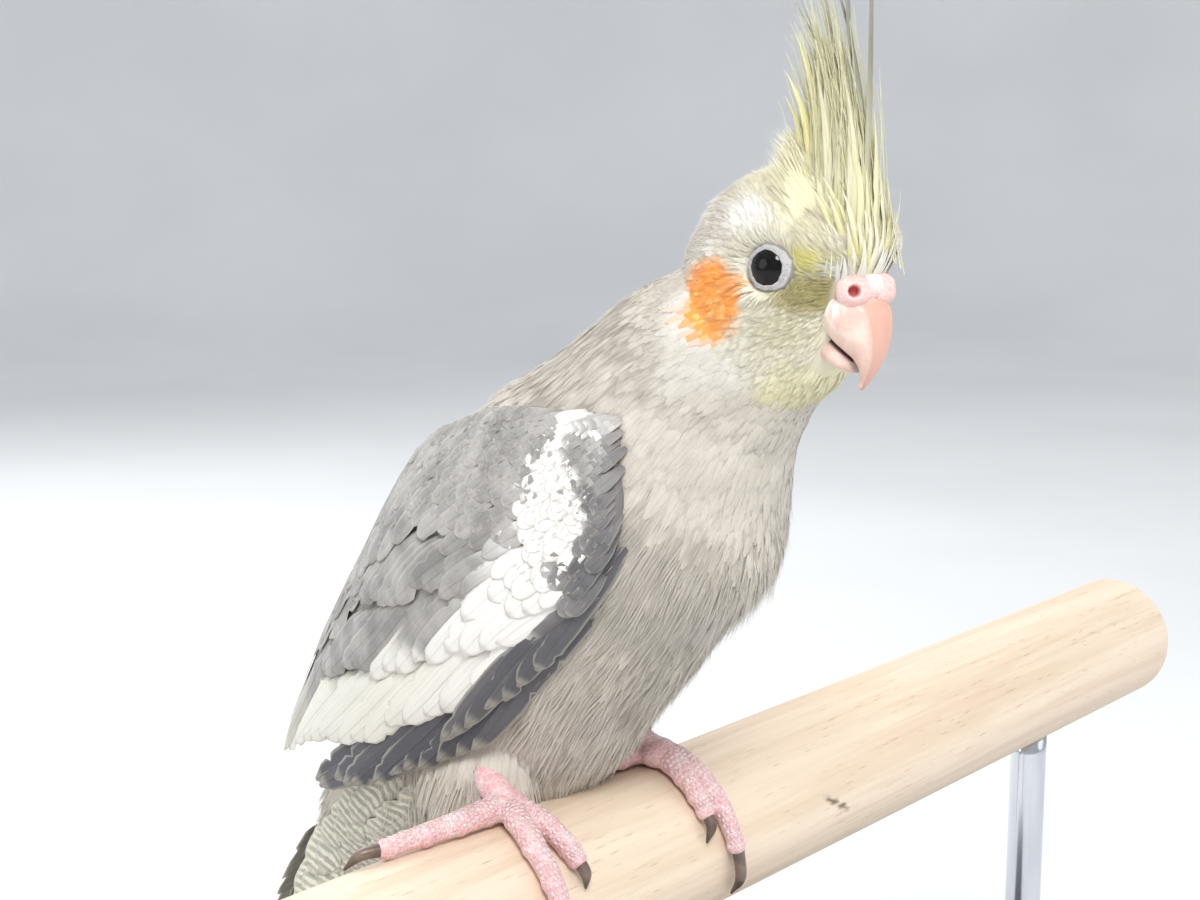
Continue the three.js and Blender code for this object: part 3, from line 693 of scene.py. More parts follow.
@dataclass(frozen=True)
class Plumage(Finish):
    """Feathers, coloured by the marks that each one carries."""

    dull: tuple = rgb(192, 184, 172)
    light: tuple = rgb(222, 214, 202)
    yellow: tuple = rgb(240, 231, 142)
    white: tuple = rgb(243, 241, 236)
    orange: tuple = rgb(255, 168, 80)
    amber: tuple = rgb(255, 208, 138)
    slate: tuple = rgb(82, 82, 88)
    cream: tuple = rgb(233, 226, 205)
    shaft: float = 0.12
    # tips: the share of a painted highlight that whitens each feather towards its tip
    tips: float = 0.0
    barbs: float = 0.16
    relief: float = 0.35
    patches: float = 160
    even: float = 0.21

    def paint(self, wiring: Wiring, shader: bpy.types.Node) -> None:
        """Grey feathers with their marks, barbs, pale fringes, shafts and a painted highlight towards their
        tips.

        Args:
            wiring: The tree's helper.
            shader: The shader that gets the looks.
        """
        place = wiring.place()
        vane = wiring.vane()
        marks = wiring.parts(wiring.add("ShaderNodeAttribute", attribute_name="marks").outputs["Vector"])
        hue = wiring.mark("hue")
        streak = wiring.noise(wiring.stretched(vane, (34, 2.2, 1)), 1, 4, 0.6, 0.3)
        cloud = wiring.noise(place, self.patches, 4, 0.55)
        shade = wiring.plus(wiring.times(cloud, 0.86), wiring.times(hue, 0.14))
        colour = wiring.blend(wiring.ramp(shade, 0.5 - self.even, 0.5 + self.even), self.dull, self.light)
        colour = wiring.blend(marks[1], colour, self.yellow)
        colour = wiring.blend(wiring.mark("dark"), colour, self.slate)
        wave = wiring.add("ShaderNodeTexWave", {
            "Vector": wiring.stretched(vane, (0.35, 1, 1)), "Scale": 3.4, "Distortion": 3.2, "Detail": 3,
            "Detail Scale": 2.2,
        }, bands_direction="Y").outputs["Fac"]
        bars = wiring.times(wiring.ramp(wave, 0.45, 0.62), wiring.mark("bars"))
        colour = wiring.blend(bars, colour, self.cream)
        colour = wiring.blend(marks[0], colour, self.white)
        flame = wiring.blend(wiring.ramp(hue, 0.5, 1.0, 0, 0.7), self.orange, self.amber)
        colour = wiring.blend(marks[2], colour, flame)
        split = wiring.parts(vane)
        off = wiring.maths("ABSOLUTE", wiring.maths("SUBTRACT", split[0], 0.5))
        rim = wiring.maths("MAXIMUM", wiring.ramp(off, 0.37, 0.46), wiring.ramp(split[1], 0.9, 0.965))
        colour = wiring.blend(wiring.times(rim, wiring.mark("fringe")), colour, self.cream)
        # painted highlight: each feather whitens towards its tip by the share tips
        tip = wiring.times(wiring.ramp(split[1], 0.55, 1.0), self.tips)
        colour = wiring.blend(tip, colour, self.white)
        line = wiring.times(wiring.ramp(off, 0.035, 0.012), self.shaft)
        line = wiring.times(line, wiring.maths("SUBTRACT", 1.0, marks[0]))
        colour = wiring.blend(line, colour, self.slate)
        tone = wiring.ramp(streak, 0.25, 0.75, 1 - self.barbs, 1)
        shaded = wiring.add("ShaderNodeCombineXYZ", {0: tone, 1: tone, 2: tone}).outputs[0]
        colour = wiring.blend(1.0, colour, shaded, "MULTIPLY")
        wiring.join(colour, shader, "Base Color")
        height = wiring.plus(streak, wiring.times(wiring.ramp(off, 0.04, 0.0), 2.0))
        self.bump(wiring, shader, height, self.relief, 0.0002)


@dataclass(frozen=True)
class Horn(Finish):
    """Smooth horn of bill or claw: two tones along the growth with fine lines."""

    colour: tuple = rgb(226, 190, 174)
    pale: tuple = rgb(240, 218, 206)
    deep: tuple = rgb(218, 164, 144)
    lines: float = 900

    def paint(self, wiring: Wiring, shader: bpy.types.Node) -> None:
        """Cloudy tones, faint growth lines and a few scuffs.

        Args:
            wiring: The tree's helper.
            shader: The shader that gets the looks.
        """
        place = wiring.place()
        cloud = wiring.noise(place, 210, 5, 0.6, 0.4)
        fine = wiring.noise(wiring.stretched(place, (1, 1, 0.22)), self.lines, 4, 0.6)
        colour = wiring.blend(wiring.ramp(cloud, 0.38, 0.66), self.colour, self.pale)
        colour = wiring.blend(wiring.times(wiring.ramp(fine, 0.55, 0.8), 0.35), colour, self.deep)
        deep = wiring.mark("deep")
        colour = wiring.blend(wiring.maths("MINIMUM", deep, 1.0), colour, self.deep)
        # deep from 1 to 2 paints the gape's shade, near black, where the bill's halves meet
        colour = wiring.blend(wiring.ramp(deep, 1.0, 1.9), colour, rgb(58, 32, 30))
        flakes = wiring.times(wiring.mark("pale"), wiring.ramp(fine, 0.4, 0.6))
        colour = wiring.blend(flakes, colour, rgb(250, 240, 236))
        wiring.join(colour, shader, "Base Color")
        rough = wiring.ramp(fine, 0.3, 0.8, self.roughness * 0.8, self.roughness * 1.4)
        wiring.join(rough, shader, "Roughness")
        self.bump(wiring, shader, wiring.plus(fine, cloud), 0.22, 0.0001)


@dataclass(frozen=True)
class BareSkin(Finish):
    """Fine bare skin of cere, lids, toes: cells with paler ridges."""

    colour: tuple = rgb(224, 160, 160)
    pale: tuple = rgb(246, 226, 220)
    # deep: the colour of painted shade in hollows and at edges under other parts
    deep: tuple = rgb(196, 96, 98)
    cells: float = 900
    ridge: float = 0.5

    def paint(self, wiring: Wiring, shader: bpy.types.Node) -> None:
        """Small cells, cloudy flush and painted shade where the deep mark lies, in nostrils and at the lids'
        edges.

        Args:
            wiring: The tree's helper.
            shader: The shader that gets the looks.
        """
        place = wiring.place()
        values = {"Vector": place, "Scale": self.cells, "Randomness": 0.9}
        edge = wiring.add("ShaderNodeTexVoronoi", values, feature="DISTANCE_TO_EDGE").outputs["Distance"]
        cloud = wiring.noise(place, 260, 4, 0.6, 0.5)
        pale = wiring.mark("pale")
        deep = wiring.mark("deep")
        share = wiring.plus(
            wiring.ramp(cloud, 0.42, 0.75, 0, 0.55), wiring.times(wiring.ramp(edge, 0.12, 0.0), self.ridge)
        )
        colour = wiring.blend(wiring.maths("MAXIMUM", share, pale, clamp=True), self.colour, self.pale)
        colour = wiring.blend(deep, colour, self.deep)
        wiring.join(colour, shader, "Base Color")
        self.bump(wiring, shader, wiring.plus(wiring.ramp(edge, 0.0, 0.2), cloud), 0.4, 0.00015)


@dataclass(frozen=True)
class EyeGloss(Finish):
    """A wet dark eye with a brown iris round a black pupil."""

    iris: tuple = rgb(46, 30, 22)
    pupil: tuple = rgb(8, 6, 6)

    def paint(self, wiring: Wiring, shader: bpy.types.Node) -> None:
        """The pupil in the middle of the vane map and the iris round it.

        Args:
            wiring: The tree's helper.
            shader: The shader that gets the looks.
        """
        place = wiring.vane()
        along = wiring.parts(place)[1]
        grain = wiring.noise(wiring.stretched(place, (60, 3, 1)), 1, 3)
        brown = wiring.blend(wiring.ramp(grain, 0.3, 0.7), self.iris, self.pupil)
        colour = wiring.blend(wiring.ramp(along, 0.5, 0.42), brown, self.pupil)
        wiring.join(colour, shader, "Base Color")


@dataclass(frozen=True)
class Beech(Finish):
    """Planed beech: pale, with grain and short flecks along the dowel."""

    colour: tuple = rgb(221, 199, 174)
    pale: tuple = rgb(234, 216, 194)
    fleck: tuple = rgb(188, 156, 122)

    def paint(self, wiring: Wiring, shader: bpy.types.Node) -> None:
        """Grain and flecks stretched along X, and one small crack.

        Args:
            wiring: The tree's helper.
            shader: The shader that gets the looks.
        """
        place = wiring.place()
        grain = wiring.noise(wiring.stretched(place, (6, 120, 120)), 1.6, 6, 0.6, 0.6)
        fine = wiring.noise(wiring.stretched(place, (30, 900, 900)), 1, 4, 0.6)
        values = {"Vector": wiring.stretched(place, (160, 1500, 1500)), "Scale": 1, "Randomness": 1}
        dash = wiring.add("ShaderNodeTexVoronoi", values, feature="F1").outputs["Distance"]
        colour = wiring.blend(wiring.ramp(grain, 0.35, 0.68), self.colour, self.pale)
        flecks = wiring.times(wiring.ramp(dash, 0.28, 0.12), wiring.ramp(fine, 0.42, 0.62))
        colour = wiring.blend(wiring.times(flecks, 0.55), colour, self.fleck)
        colour = wiring.blend(wiring.times(wiring.ramp(fine, 0.5, 0.75), 0.22), colour, self.fleck)
        crack = wiring.mark("deep")
        colour = wiring.blend(crack, colour, rgb(86, 66, 44))
        wiring.join(colour, shader, "Base Color")
        height = wiring.maths("SUBTRACT", wiring.plus(fine, grain), wiring.times(flecks, 0.6))
        self.bump(wiring, shader, height, 0.25, 0.0002)


@dataclass(frozen=True)
class Chrome(Finish):
    """Bright plated steel with faint smears."""

    colour: tuple = rgb(214, 216, 220)

    def paint(self, wiring: Wiring, shader: bpy.types.Node) -> None:
        """Roughness that varies in soft smears.

        Args:
            wiring: The tree's helper.
            shader: The shader that gets the looks.
        """
        place = wiring.place()
        smear = wiring.noise(wiring.stretched(place, (1, 1, 0.2)), 120, 4)
        wiring.join(wiring.ramp(smear, 0.3, 0.8, 0.07, 0.22), shader, "Roughness")
        colour = wiring.blend(wiring.ramp(smear, 0.4, 0.7), self.colour, rgb(196, 199, 205))
        wiring.join(colour, shader, "Base Color")


@dataclass(frozen=True)
class Paint(Finish):
    """Fine matt paint with a slight texture."""

    colour: tuple = rgb(62, 64, 68)
    worn: tuple = rgb(84, 86, 90)

    def paint(self, wiring: Wiring, shader: bpy.types.Node) -> None:
        """Tiny grain in colour and height.

        Args:
            wiring: The tree's helper.
            shader: The shader that gets the looks.
        """
        place = wiring.place()
        grain = wiring.noise(place, 1800, 3)
        cloud = wiring.noise(place, 30, 4)
        colour = wiring.blend(wiring.ramp(grain, 0.4, 0.8, 0, 0.5), self.colour, self.worn)
        colour = wiring.blend(wiring.ramp(cloud, 0.45, 0.8, 0, 0.3), colour, self.worn)
        wiring.join(colour, shader, "Base Color")
        self.bump(wiring, shader, grain, 0.25, 0.0001)


FEATHER = (("Sheen Weight", 0.12), ("Sheen Roughness", 0.5), ("Specular IOR Level", 0.25))
BODY_PLUMAGE = Plumage(
    "body_feathers", "plumage_body", 0.85, FEATHER, barbs=0.08, relief=0.2, tips=0.16, even=0.4
)
HEAD_PLUMAGE = Plumage(
    "head_feathers", "plumage_head", 0.85, FEATHER, barbs=0.08, relief=0.2, tips=0.16, even=0.3,
    slate=rgb(112, 98, 62),
)
WING_PLUMAGE = Plumage(
    "wing_feathers", "plumage_wing", 0.7, FEATHER, dull=rgb(142, 139, 136), light=rgb(186, 182, 178),
    shaft=0.18,
)
TAIL_PLUMAGE = Plumage(
    "tail_feathers", "plumage_tail", 0.72, FEATHER, dull=rgb(146, 143, 138), light=rgb(184, 180, 172),
    shaft=0.0,
)
CREST_PLUMAGE = Plumage(
    "crest_feathers", "plumage_crest", 0.8, FEATHER, dull=rgb(214, 211, 182), light=rgb(233, 231, 206),
    shaft=0.1, barbs=0.1, tips=0.15, even=0.35,
)
EYE = EyeGloss("eye_gloss", "eye", 0.05, (("Specular IOR Level", 0.3),))
BILL = Horn("bill_finish", "bill_horn", 0.38, (("Subsurface Weight", 0.15), ("Subsurface Scale", 0.002)))
CERE = BareSkin(
    "cere_finish", "cere_skin", 0.5, (("Subsurface Weight", 0.15), ("Subsurface Scale", 0.002)),
    colour=rgb(240, 190, 184), pale=rgb(250, 230, 226), cells=1500,
)
LID = BareSkin(
    "lid_finish", "cere_skin", 0.65, colour=rgb(168, 164, 164), pale=rgb(214, 211, 208), deep=rgb(66, 60, 54),
    cells=1500,
)
TOE = BareSkin(
    "toe_finish", "foot_skin", 0.6, (("Subsurface Weight", 0.1), ("Subsurface Scale", 0.002)),
    colour=rgb(222, 172, 174), pale=rgb(244, 228, 226),
)
CLAW = Horn(
    "claw_finish", "claw_horn", 0.35, colour=rgb(92, 76, 68), pale=rgb(128, 110, 100), deep=rgb(52, 42, 38)
)
WOOD = Beech("beech_finish", "beech", 0.55)
STEEL = Chrome("chrome_finish", "chrome", 0.1, (("Metallic", 1.0),))
PAINT = Paint("paint_finish", "base_paint", 0.5)


# Trees of geometry nodes


class NodeTree:
    """A tree of geometry nodes with named inputs, run on an object to give a plain mesh."""

    INPUTS: tuple = ()

    def __init__(self) -> None:
        """Builds the tree."""
        self.tree = bpy.data.node_groups.new(type(self).__name__, "GeometryNodeTree")
        face = self.tree.interface
        face.new_socket("Geometry", in_out="INPUT", socket_type="NodeSocketGeometry")
        face.new_socket("Geometry", in_out="OUTPUT", socket_type="NodeSocketGeometry")
        self.sockets = {}
        for name, kind, value in self.INPUTS:
            socket = face.new_socket(name, in_out="INPUT", socket_type=kind)
            if value is not None:
                socket.default_value = value
            self.sockets[name] = socket.identifier
        self.wiring = Wiring(self.tree)
        self.wire()

    def wire(self) -> None:
        """Joins the nodes."""
        raise NotImplementedError

    def named(self, name: Socket | str, kind: str = "FLOAT") -> Socket:
        """An attribute's values."""
        node = self.wiring.add("GeometryNodeInputNamedAttribute", {"Name": name}, data_type=kind)
        return node.outputs["Attribute"]

    def stored(self, shape: Socket, name: str, value: Socket, kind: str, domain: str) -> Socket:
        """The shape with values kept in an attribute."""
        values = {"Geometry": shape, "Name": name, "Value": value}
        node = self.wiring.add("GeometryNodeStoreNamedAttribute", values, data_type=kind, domain=domain)
        return node.outputs[0]

    def aligned(self, out: Socket, along: Socket) -> Socket:
        """Turns that set Z along one direction, and then Y as near as they can to the other."""
        kind = "FunctionNodeAlignRotationToVector"
        upright = self.wiring.add(kind, {"Vector": out}, axis="Z").outputs[0]
        values = {"Rotation": upright, "Vector": along}
        return self.wiring.add(kind, values, axis="Y", pivot_axis="Z").outputs[0]

    def mapped(self, shape: Socket, flat: Socket, size: Socket) -> Socket:
        """The shape with its places on the baked map.

        Args:
            shape: The shape.
            flat: Its places on a small part's own map.
            size: How large a patch that map takes round the root's place.

        Returns:
            The shape with the map.
        """
        small = self.wiring.vector("SCALE", {0: flat, "Scale": size})
        place = self.wiring.vector("ADD", {0: self.named("root_place", "FLOAT_VECTOR"), 1: small})
        return self.stored(shape, BAKE_MAP, place, "FLOAT2", "CORNER")

    def shapes(self, collection: Socket) -> Socket:
        """The objects of a collection as instances."""
        values = {"Collection": collection, "Separate Children": True, "Reset Children": True}
        return self.wiring.add("GeometryNodeCollectionInfo", values).outputs[0]

    def finished(self, shape: Socket, finish: Socket) -> None:
        """Gives out the shape with its instances realized and its finish set."""
        real = self.wiring.add("GeometryNodeRealizeInstances", {"Geometry": shape}).outputs[0]
        painted = self.wiring.add("GeometryNodeSetMaterial", {"Geometry": real, "Material": finish})
        self.wiring.add("NodeGroupOutput", {0: painted.outputs[0]})

    def run(self, thing: Object, values: dict) -> bpy.types.Mesh:
        """Runs the tree.

        Args:
            thing: The object that it starts from.
            values: A value for each named input.

        Returns:
            The new mesh, with the object left as it was.
        """
        modifier = thing.modifiers.new("tree", "NODES")
        modifier.node_group = self.tree
        for name, value in values.items():
            modifier[self.sockets[name]] = value
        mesh = bpy.data.meshes.new_from_object(thing.evaluated_get(bpy.context.evaluated_depsgraph_get()))
        thing.modifiers.remove(modifier)
        return mesh


class StrandTree(NodeTree):
    """Geometry nodes that give lines of points the shape of fine tapered strands."""

    INPUTS = (
        ("Sides", "NodeSocketInt", 3), ("Thickness", "NodeSocketFloat", 0.0001),
        ("Patch", "NodeSocketFloat", 0.003),
        ("Finish", "NodeSocketMaterial", None),
    )

    def wire(self) -> None:
        """Joins the nodes: lines, a round profile along them, their places on the baked map."""
        w = self.wiring
        given = w.add("NodeGroupInput").outputs
        share = w.add("GeometryNodeSplineParameter").outputs["Factor"]
        lines = w.add("GeometryNodeMeshToCurve", {"Mesh": given["Geometry"]}).outputs[0]
        lines = self.stored(lines, "along", share, "FLOAT", "POINT")
        size = {"Resolution": given["Sides"], "Radius": given["Thickness"]}
        ring = w.add("GeometryNodeCurvePrimitiveCircle", size).outputs[0]
        ring = self.stored(ring, "around", share, "FLOAT", "POINT")
        strands = w.add("GeometryNodeCurveToMesh", {
            "Curve": lines, "Profile Curve": ring, "Scale": self.named("taper"), "Fill Caps": True,
        }).outputs[0]
        flat = w.add("ShaderNodeCombineXYZ", {0: self.named("around"), 1: self.named("along")}).outputs[0]
        self.finished(self.mapped(strands, flat, given["Patch"]), given["Finish"])


class PlateTree(NodeTree):
    """Geometry nodes that set a small plate on each point, by its own directions and size."""

    INPUTS = (
        ("Plates", "NodeSocketCollection", None), ("Thickness", "NodeSocketFloat", 1.0),
        ("Finish", "NodeSocketMaterial", None),
    )

    def wire(self) -> None:
        """Joins the nodes: points, a plate on each, turned to the toe."""
        w = self.wiring
        given = w.add("NodeGroupInput").outputs
        high = w.add("ShaderNodeCombineXYZ", {0: 1.0, 1: 1.0, 2: given["Thickness"]}).outputs[0]
        plates = w.add("GeometryNodeInstanceOnPoints", {
            "Points": given["Geometry"], "Instance": self.shapes(given["Plates"]),
            "Rotation": self.aligned(self.named("out", "FLOAT_VECTOR"), self.named("along", "FLOAT_VECTOR")),
            "Scale": w.vector("MULTIPLY", {0: self.named("size", "FLOAT_VECTOR"), 1: high}),
        })
        self.finished(plates.outputs[0], given["Finish"])


def carrier(points: Array, lines: Array, marks: dict[str, Array]) -> Object:
    """A loose object that takes points, lines and their values into a tree.

    Args:
        points: Points in the bird's frame.
        lines: Two indexes a line.
        marks: Values for the points, one or three each.

    Returns:
        The object, which is removed after the tree has run.
    """
    mesh = bpy.data.meshes.new("carrier")
    mesh.from_pydata(((points + BIRD) * MM).tolist(), lines.tolist(), [])
    write_marks(mesh, marks)
    return linked("carrier", mesh)


# Markings


@dataclass(frozen=True)
class Spot:
    """A soft oval marking of the head, in the head's frame."""

    share: float
    forward: float
    up: float
    wide: float
    high: float
    side: tuple = ()  # from none to all of it between these distances from the middle

    def at(self, forward: Array, up: Array, side: Array) -> Array:
        """The spot's shares at places and their distances from the middle."""
        oval = np.hypot((forward - self.forward) / self.wide, (up - self.up) / self.high)
        return self.share * smooth(1.25, 0.4, oval) * (smooth(*self.side, side) if self.side else 1)


@dataclass(frozen=True)
class Marks:
    """The bird's markings as shares at places, the same for skin and coat."""

    brow: Spot = Spot(0.95, 12.4, 3.8, 4.2, 2.1, (4, 6))
    lore: Spot = Spot(1, 11.9, -0.9, 5.2, 3.5, (3.5, 5))
    forehead: Spot = Spot(0.4, 13, 8.5, 6, 4.5)
    olive: Spot = Spot(0.2, 10, -5, 5, 4, (6, 9))
    yellows: tuple = (
        Spot(0.62, 5.5, -13.5, 6, 5, (11, 7)),
        Spot(0.5, 8.5, -6, 4, 3.5),
        Spot(1, 17, 5.4, 3.4, 3.2, (4.2, 2.4)),
        Spot(0.5, 8, 11.3, 2, 1.6),
        Spot(0.5, 13, 8.5, 6, 4.5),
    )
    whites: tuple = (
        Spot(0.9, 3.2, 10.2, 5.4, 3.4, (4, 6.5)),
        Spot(0.5, 6.5, 7.2, 5, 2.6, (6, 9)),
        Spot(0.3, -2, -12, 8, 4, (6, 9)),
    )
    left_white: Spot = Spot(0.7, 16.7, 4.6, 2.5, 3, (2.4, 3.4))
    cheek: tuple = (-2.6, -1.8)
    cheek_size: tuple = (6.5, 6.4)
    wing_white: tuple = (
        (2.35, 10, 1.6), (2.7, 5, 2.4), (3.05, -8, 5.2), (3.5, -17, 4.8), (4.2, -18, 5.2),
        (4.9, -7, 6.2), (5.7, 8, 6.4), (6.6, 32, 7.2), (7.3, 44, 7),
    )
    millimetres: tuple = (22.0, 0.5)  # in one station and one degree of the hull

    def body(self, points: Array) -> dict[str, Array]:
        """Marks at points on the body and head.

        Args:
            points: Points in the bird's frame.

        Returns:
            marks (white, yellow, orange), dark, fringe and bars.
        """
        forward, left, up = HEAD.into(points).T
        side = np.abs(left)
        station, angle = BODY.places(points)
        on_side = smooth(6, 9, side)
        across = np.hypot(
            (forward - self.cheek[0]) / self.cheek_size[0], (up - self.cheek[1]) / self.cheek_size[1]
        )
        across = across + 0.08 * np.sin(1.9 * forward + 1.3 * up) * np.sin(2.3 * up - forward)
        orange = on_side * smooth(1.06, 0.86, across)
        rim = on_side * smooth(1.5, 1.0, across) * (1 - orange)
        on_head = smooth(-22, -15, up) * smooth(-14, -7, forward + 0.25 * up) * smooth(1.3, 0.6, station)
        face = smooth(-2, 6, forward) * on_head
        brow, lore = (spot.at(forward, up, side) for spot in (self.brow, self.lore))
        nape = 0.22 * smooth(-6, -13, forward) * smooth(-9, -2, up) * smooth(2, 0.5, station)
        fore = 0.9 * smooth(13.5, 14.8, forward) * smooth(0.8, 1.6, up) * smooth(4.4, 3.2, up)
        belly = smooth(4.2, 6.2, station) * smooth(-30, -60, angle)
        under = smooth(6.2, 6.8, station) * smooth(4, -10, angle)
        yellow = np.max([
            0.34 * face + 0.2 * on_head * smooth(9, 13, up) * smooth(-5, 1, forward), brow, 0.75 * lore,
            0.4 * rim * smooth(-6, 2, forward), *(spot.at(forward, up, side) for spot in self.yellows),
        ], 0)
        olive = np.max([0.66 * lore, self.olive.at(forward, up, side), nape], 0)
        white = np.max([
            fore, 0.6 * rim, 0.34 * on_head * smooth(-2, 3, forward) * (1 - lore) * (1 - brow),
            self.forehead.at(forward, up, side) * (1 - brow), self.left_white.at(forward, up, left),
            0.12 * belly,
            *(spot.at(forward, up, side) for spot in self.whites),
        ], 0)
        marks = np.stack([white, yellow, orange], 1)
        return {"marks": marks, "dark": olive, "fringe": np.zeros(len(points)), "bars": 0.4 * under}

    def on_wing(self, station: Array, angle: Array, shift: float = 0) -> Array:
        """The share of white on the folded wing.

        Args:
            station: Stations of the hull.
            angle: Angles of the hull.
            shift: Millimetres that this feather's own white reaches further.

        Returns:
            Shares from 0 to 1.
        """
        line = Curve(self.wing_white).at(np.linspace(0, 1, 60))
        long, wide = self.millimetres
        apart = np.hypot(
            (station[:, None] - line[None, :, 0]) * long, (angle[:, None] - line[None, :, 1]) * wide
        )
        return smooth(0.9, -0.9, (apart - line[None, :, 2]).min(1) - shift)

    def dark_wing(self, station: Array, angle: Array) -> Array:
        """The share of slate along the wing's leading edge."""
        edge = np.interp(station, [2.2, 2.6, 3.0, 3.5, 4.2, 4.9], [-2, -9, -17, -25, -30, -24])
        return smooth(edge + 3, edge - 2, angle) * smooth(2.15, 2.5, station)


MARKS = Marks()


# Feathers


@dataclass(frozen=True)
class Vane:
    """How a large feather is shaped, in shares of its length and half width."""

    outline: tuple = ((0, 0.35), (0.2, 0.8), (0.5, 1), (0.8, 0.92), (0.93, 0.62), (1, 0.12))
    rows: int = 20
    thick: float = 0.34
    camber: float = 0.16
    shaft: float = 0.22
    notches: int = 3
    slant: float = 0.55
    ragged: float = 0.03
    crowd: float = 1.0  # above 1 its rows stand closer at the tip
    columns: tuple = (-1, -0.72, -0.38, -0.07, 0, 0.07, 0.38, 0.72, 1)

    def shape(
        self, path: Array, out: Array, half: float, draw: np.random.Generator, tilt: float = 0,
        lean: float = 0,
    ) -> tuple[Array, Array, Array]:
        """One feather along a path.

        Args:
            path: Its middle line, evenly spaced from root to tip.
            out: The way out of its upper face at each of those points.
            half: Half of its greatest width.
            draw: Draws its own notches.
            tilt: How much it turns about its shaft, as a slope.
            lean: How much wider one side is than the other, -1 to 1.

        Returns:
            Points, faces and the vane map.
        """
        share = 1 - (1 - np.linspace(0, 1, self.rows) ** 0.92) ** self.crowd
        at = share * (len(path) - 1)
        stations = np.arange(len(path))
        middle, up = (
            np.stack([np.interp(at, stations, values[:, k]) for k in range(3)], 1) for values in (path, out)
        )
        up = unit(up)
        along = unit(np.gradient(middle, axis=0))
        across = unit(np.cross(along, up))
        up = np.cross(across, along)
        columns = np.array(self.columns)
        wide = between(share, self.outline) * half
        x = np.zeros((self.rows, len(columns)))
        for hand in (-1, 1):
            ragged = 1 + draw.normal(0, self.ragged, self.rows)
            for notch in draw.integers(3, self.rows - 1, self.notches):
                ragged[notch] *= draw.uniform(0.55, 0.85)
            side = columns * hand > 0
            x[:, side] = columns[side][None] * (wide * ragged * (1 + hand * lean))[:, None]
        fade = (1 - share**5)[:, None]
        forward = self.slant * np.abs(x) * fade
        z = -x * tilt - self.camber * x**2 / max(half, 1e-6)
        rise = np.where(np.abs(columns) < 0.05, self.shaft, 0)[None] * (1 - share * 0.8)[:, None]
        thin = self.thick * (1 - 0.45 * share)[:, None] * (1 - 0.8 * np.abs(columns) ** 2)[None]
        place = middle[:, None] + across[:, None] * x[..., None] + along[:, None] * forward[..., None]
        top = place + up[:, None] * (z + thin / 2 + rise)[..., None]
        low = place + up[:, None] * (z - thin / 2 - rise * 0.5)[..., None]
        count = self.rows * len(columns)
        quads = grid_quads(self.rows, len(columns))
        rim = np.concatenate([
            np.arange(len(columns)),
            np.arange(1, self.rows) * len(columns) + len(columns) - 1,
            (self.rows - 1) * len(columns) + np.arange(len(columns) - 2, -1, -1),
            np.arange(self.rows - 2, 0, -1) * len(columns),
        ])
        after = np.roll(rim, -1)
        edge = np.stack([rim, after, after + count, rim + count], 1)
        faces = np.concatenate([quads[:, ::-1], quads + count, edge])
        flat = np.stack(np.broadcast_arrays(columns[None] / 2 + 0.5, share[:, None]), -1).reshape(-1, 2)
        points = np.concatenate([top.reshape(-1, 3), low.reshape(-1, 3)])
        return points, self._outward(points, faces, up.mean(0), count), np.concatenate([flat, flat])

    @staticmethod
    def _outward(points: Array, faces: Array, up: Array, count: int) -> Array:
        """The faces turned so that the upper ones look up."""
        a, b, c = (points[faces[: count // 2, k]] for k in range(3))
        return faces if (np.cross(b - a, c - b) @ up).sum() > 0 else faces[:, ::-1]


SMALL_VANE = Vane(
    rows=9, thick=0.03, shaft=0.0, notches=0, camber=0.03, slant=0.4, ragged=0.04, crowd=1.7,
    columns=(-1, -0.6, 0, 0.6, 1),
    outline=((0, 0.45), (0.3, 0.9), (0.6, 1), (0.8, 0.88), (0.9, 0.68), (0.96, 0.42), (1, 0.1)),
)


class Shelf:
    """Gives each large feather its own patch of the baked map."""

    def __init__(self, columns: int, rows: int) -> None:
        """A grid of patches."""
        self.columns, self.rows, self.used = columns, rows, 0

    def place(self, vane: Array) -> Array:
        """The next patch, filled by a vane map.

        Args:
            vane: Places on a vane, from 0 to 1.

        Returns:
            Places in the bake.
        """
        column, row = self.used % self.columns, self.used // self.columns
        self.used += 1
        count = len(vane) // 2
        two = vane.copy()
        two[:, 0] = vane[:, 0] * 0.46
        two[count:, 0] += 0.5
        return (np.array([column, row]) + 0.04 + 0.92 * two) / np.array([self.columns, self.rows])


@dataclass(frozen=True)
class Tier:
    """A row of the wing's feathers from its lowest to its uppermost one, as the source places them."""

    name: str
    count: int
    half: float
    tilt: float
    lift: tuple
    roots: tuple
    tips: tuple
    vane: Vane = Vane()
    white: float = 1
    dark: float = 0
    fringe: float = 0.25
    loose: float = 0.04


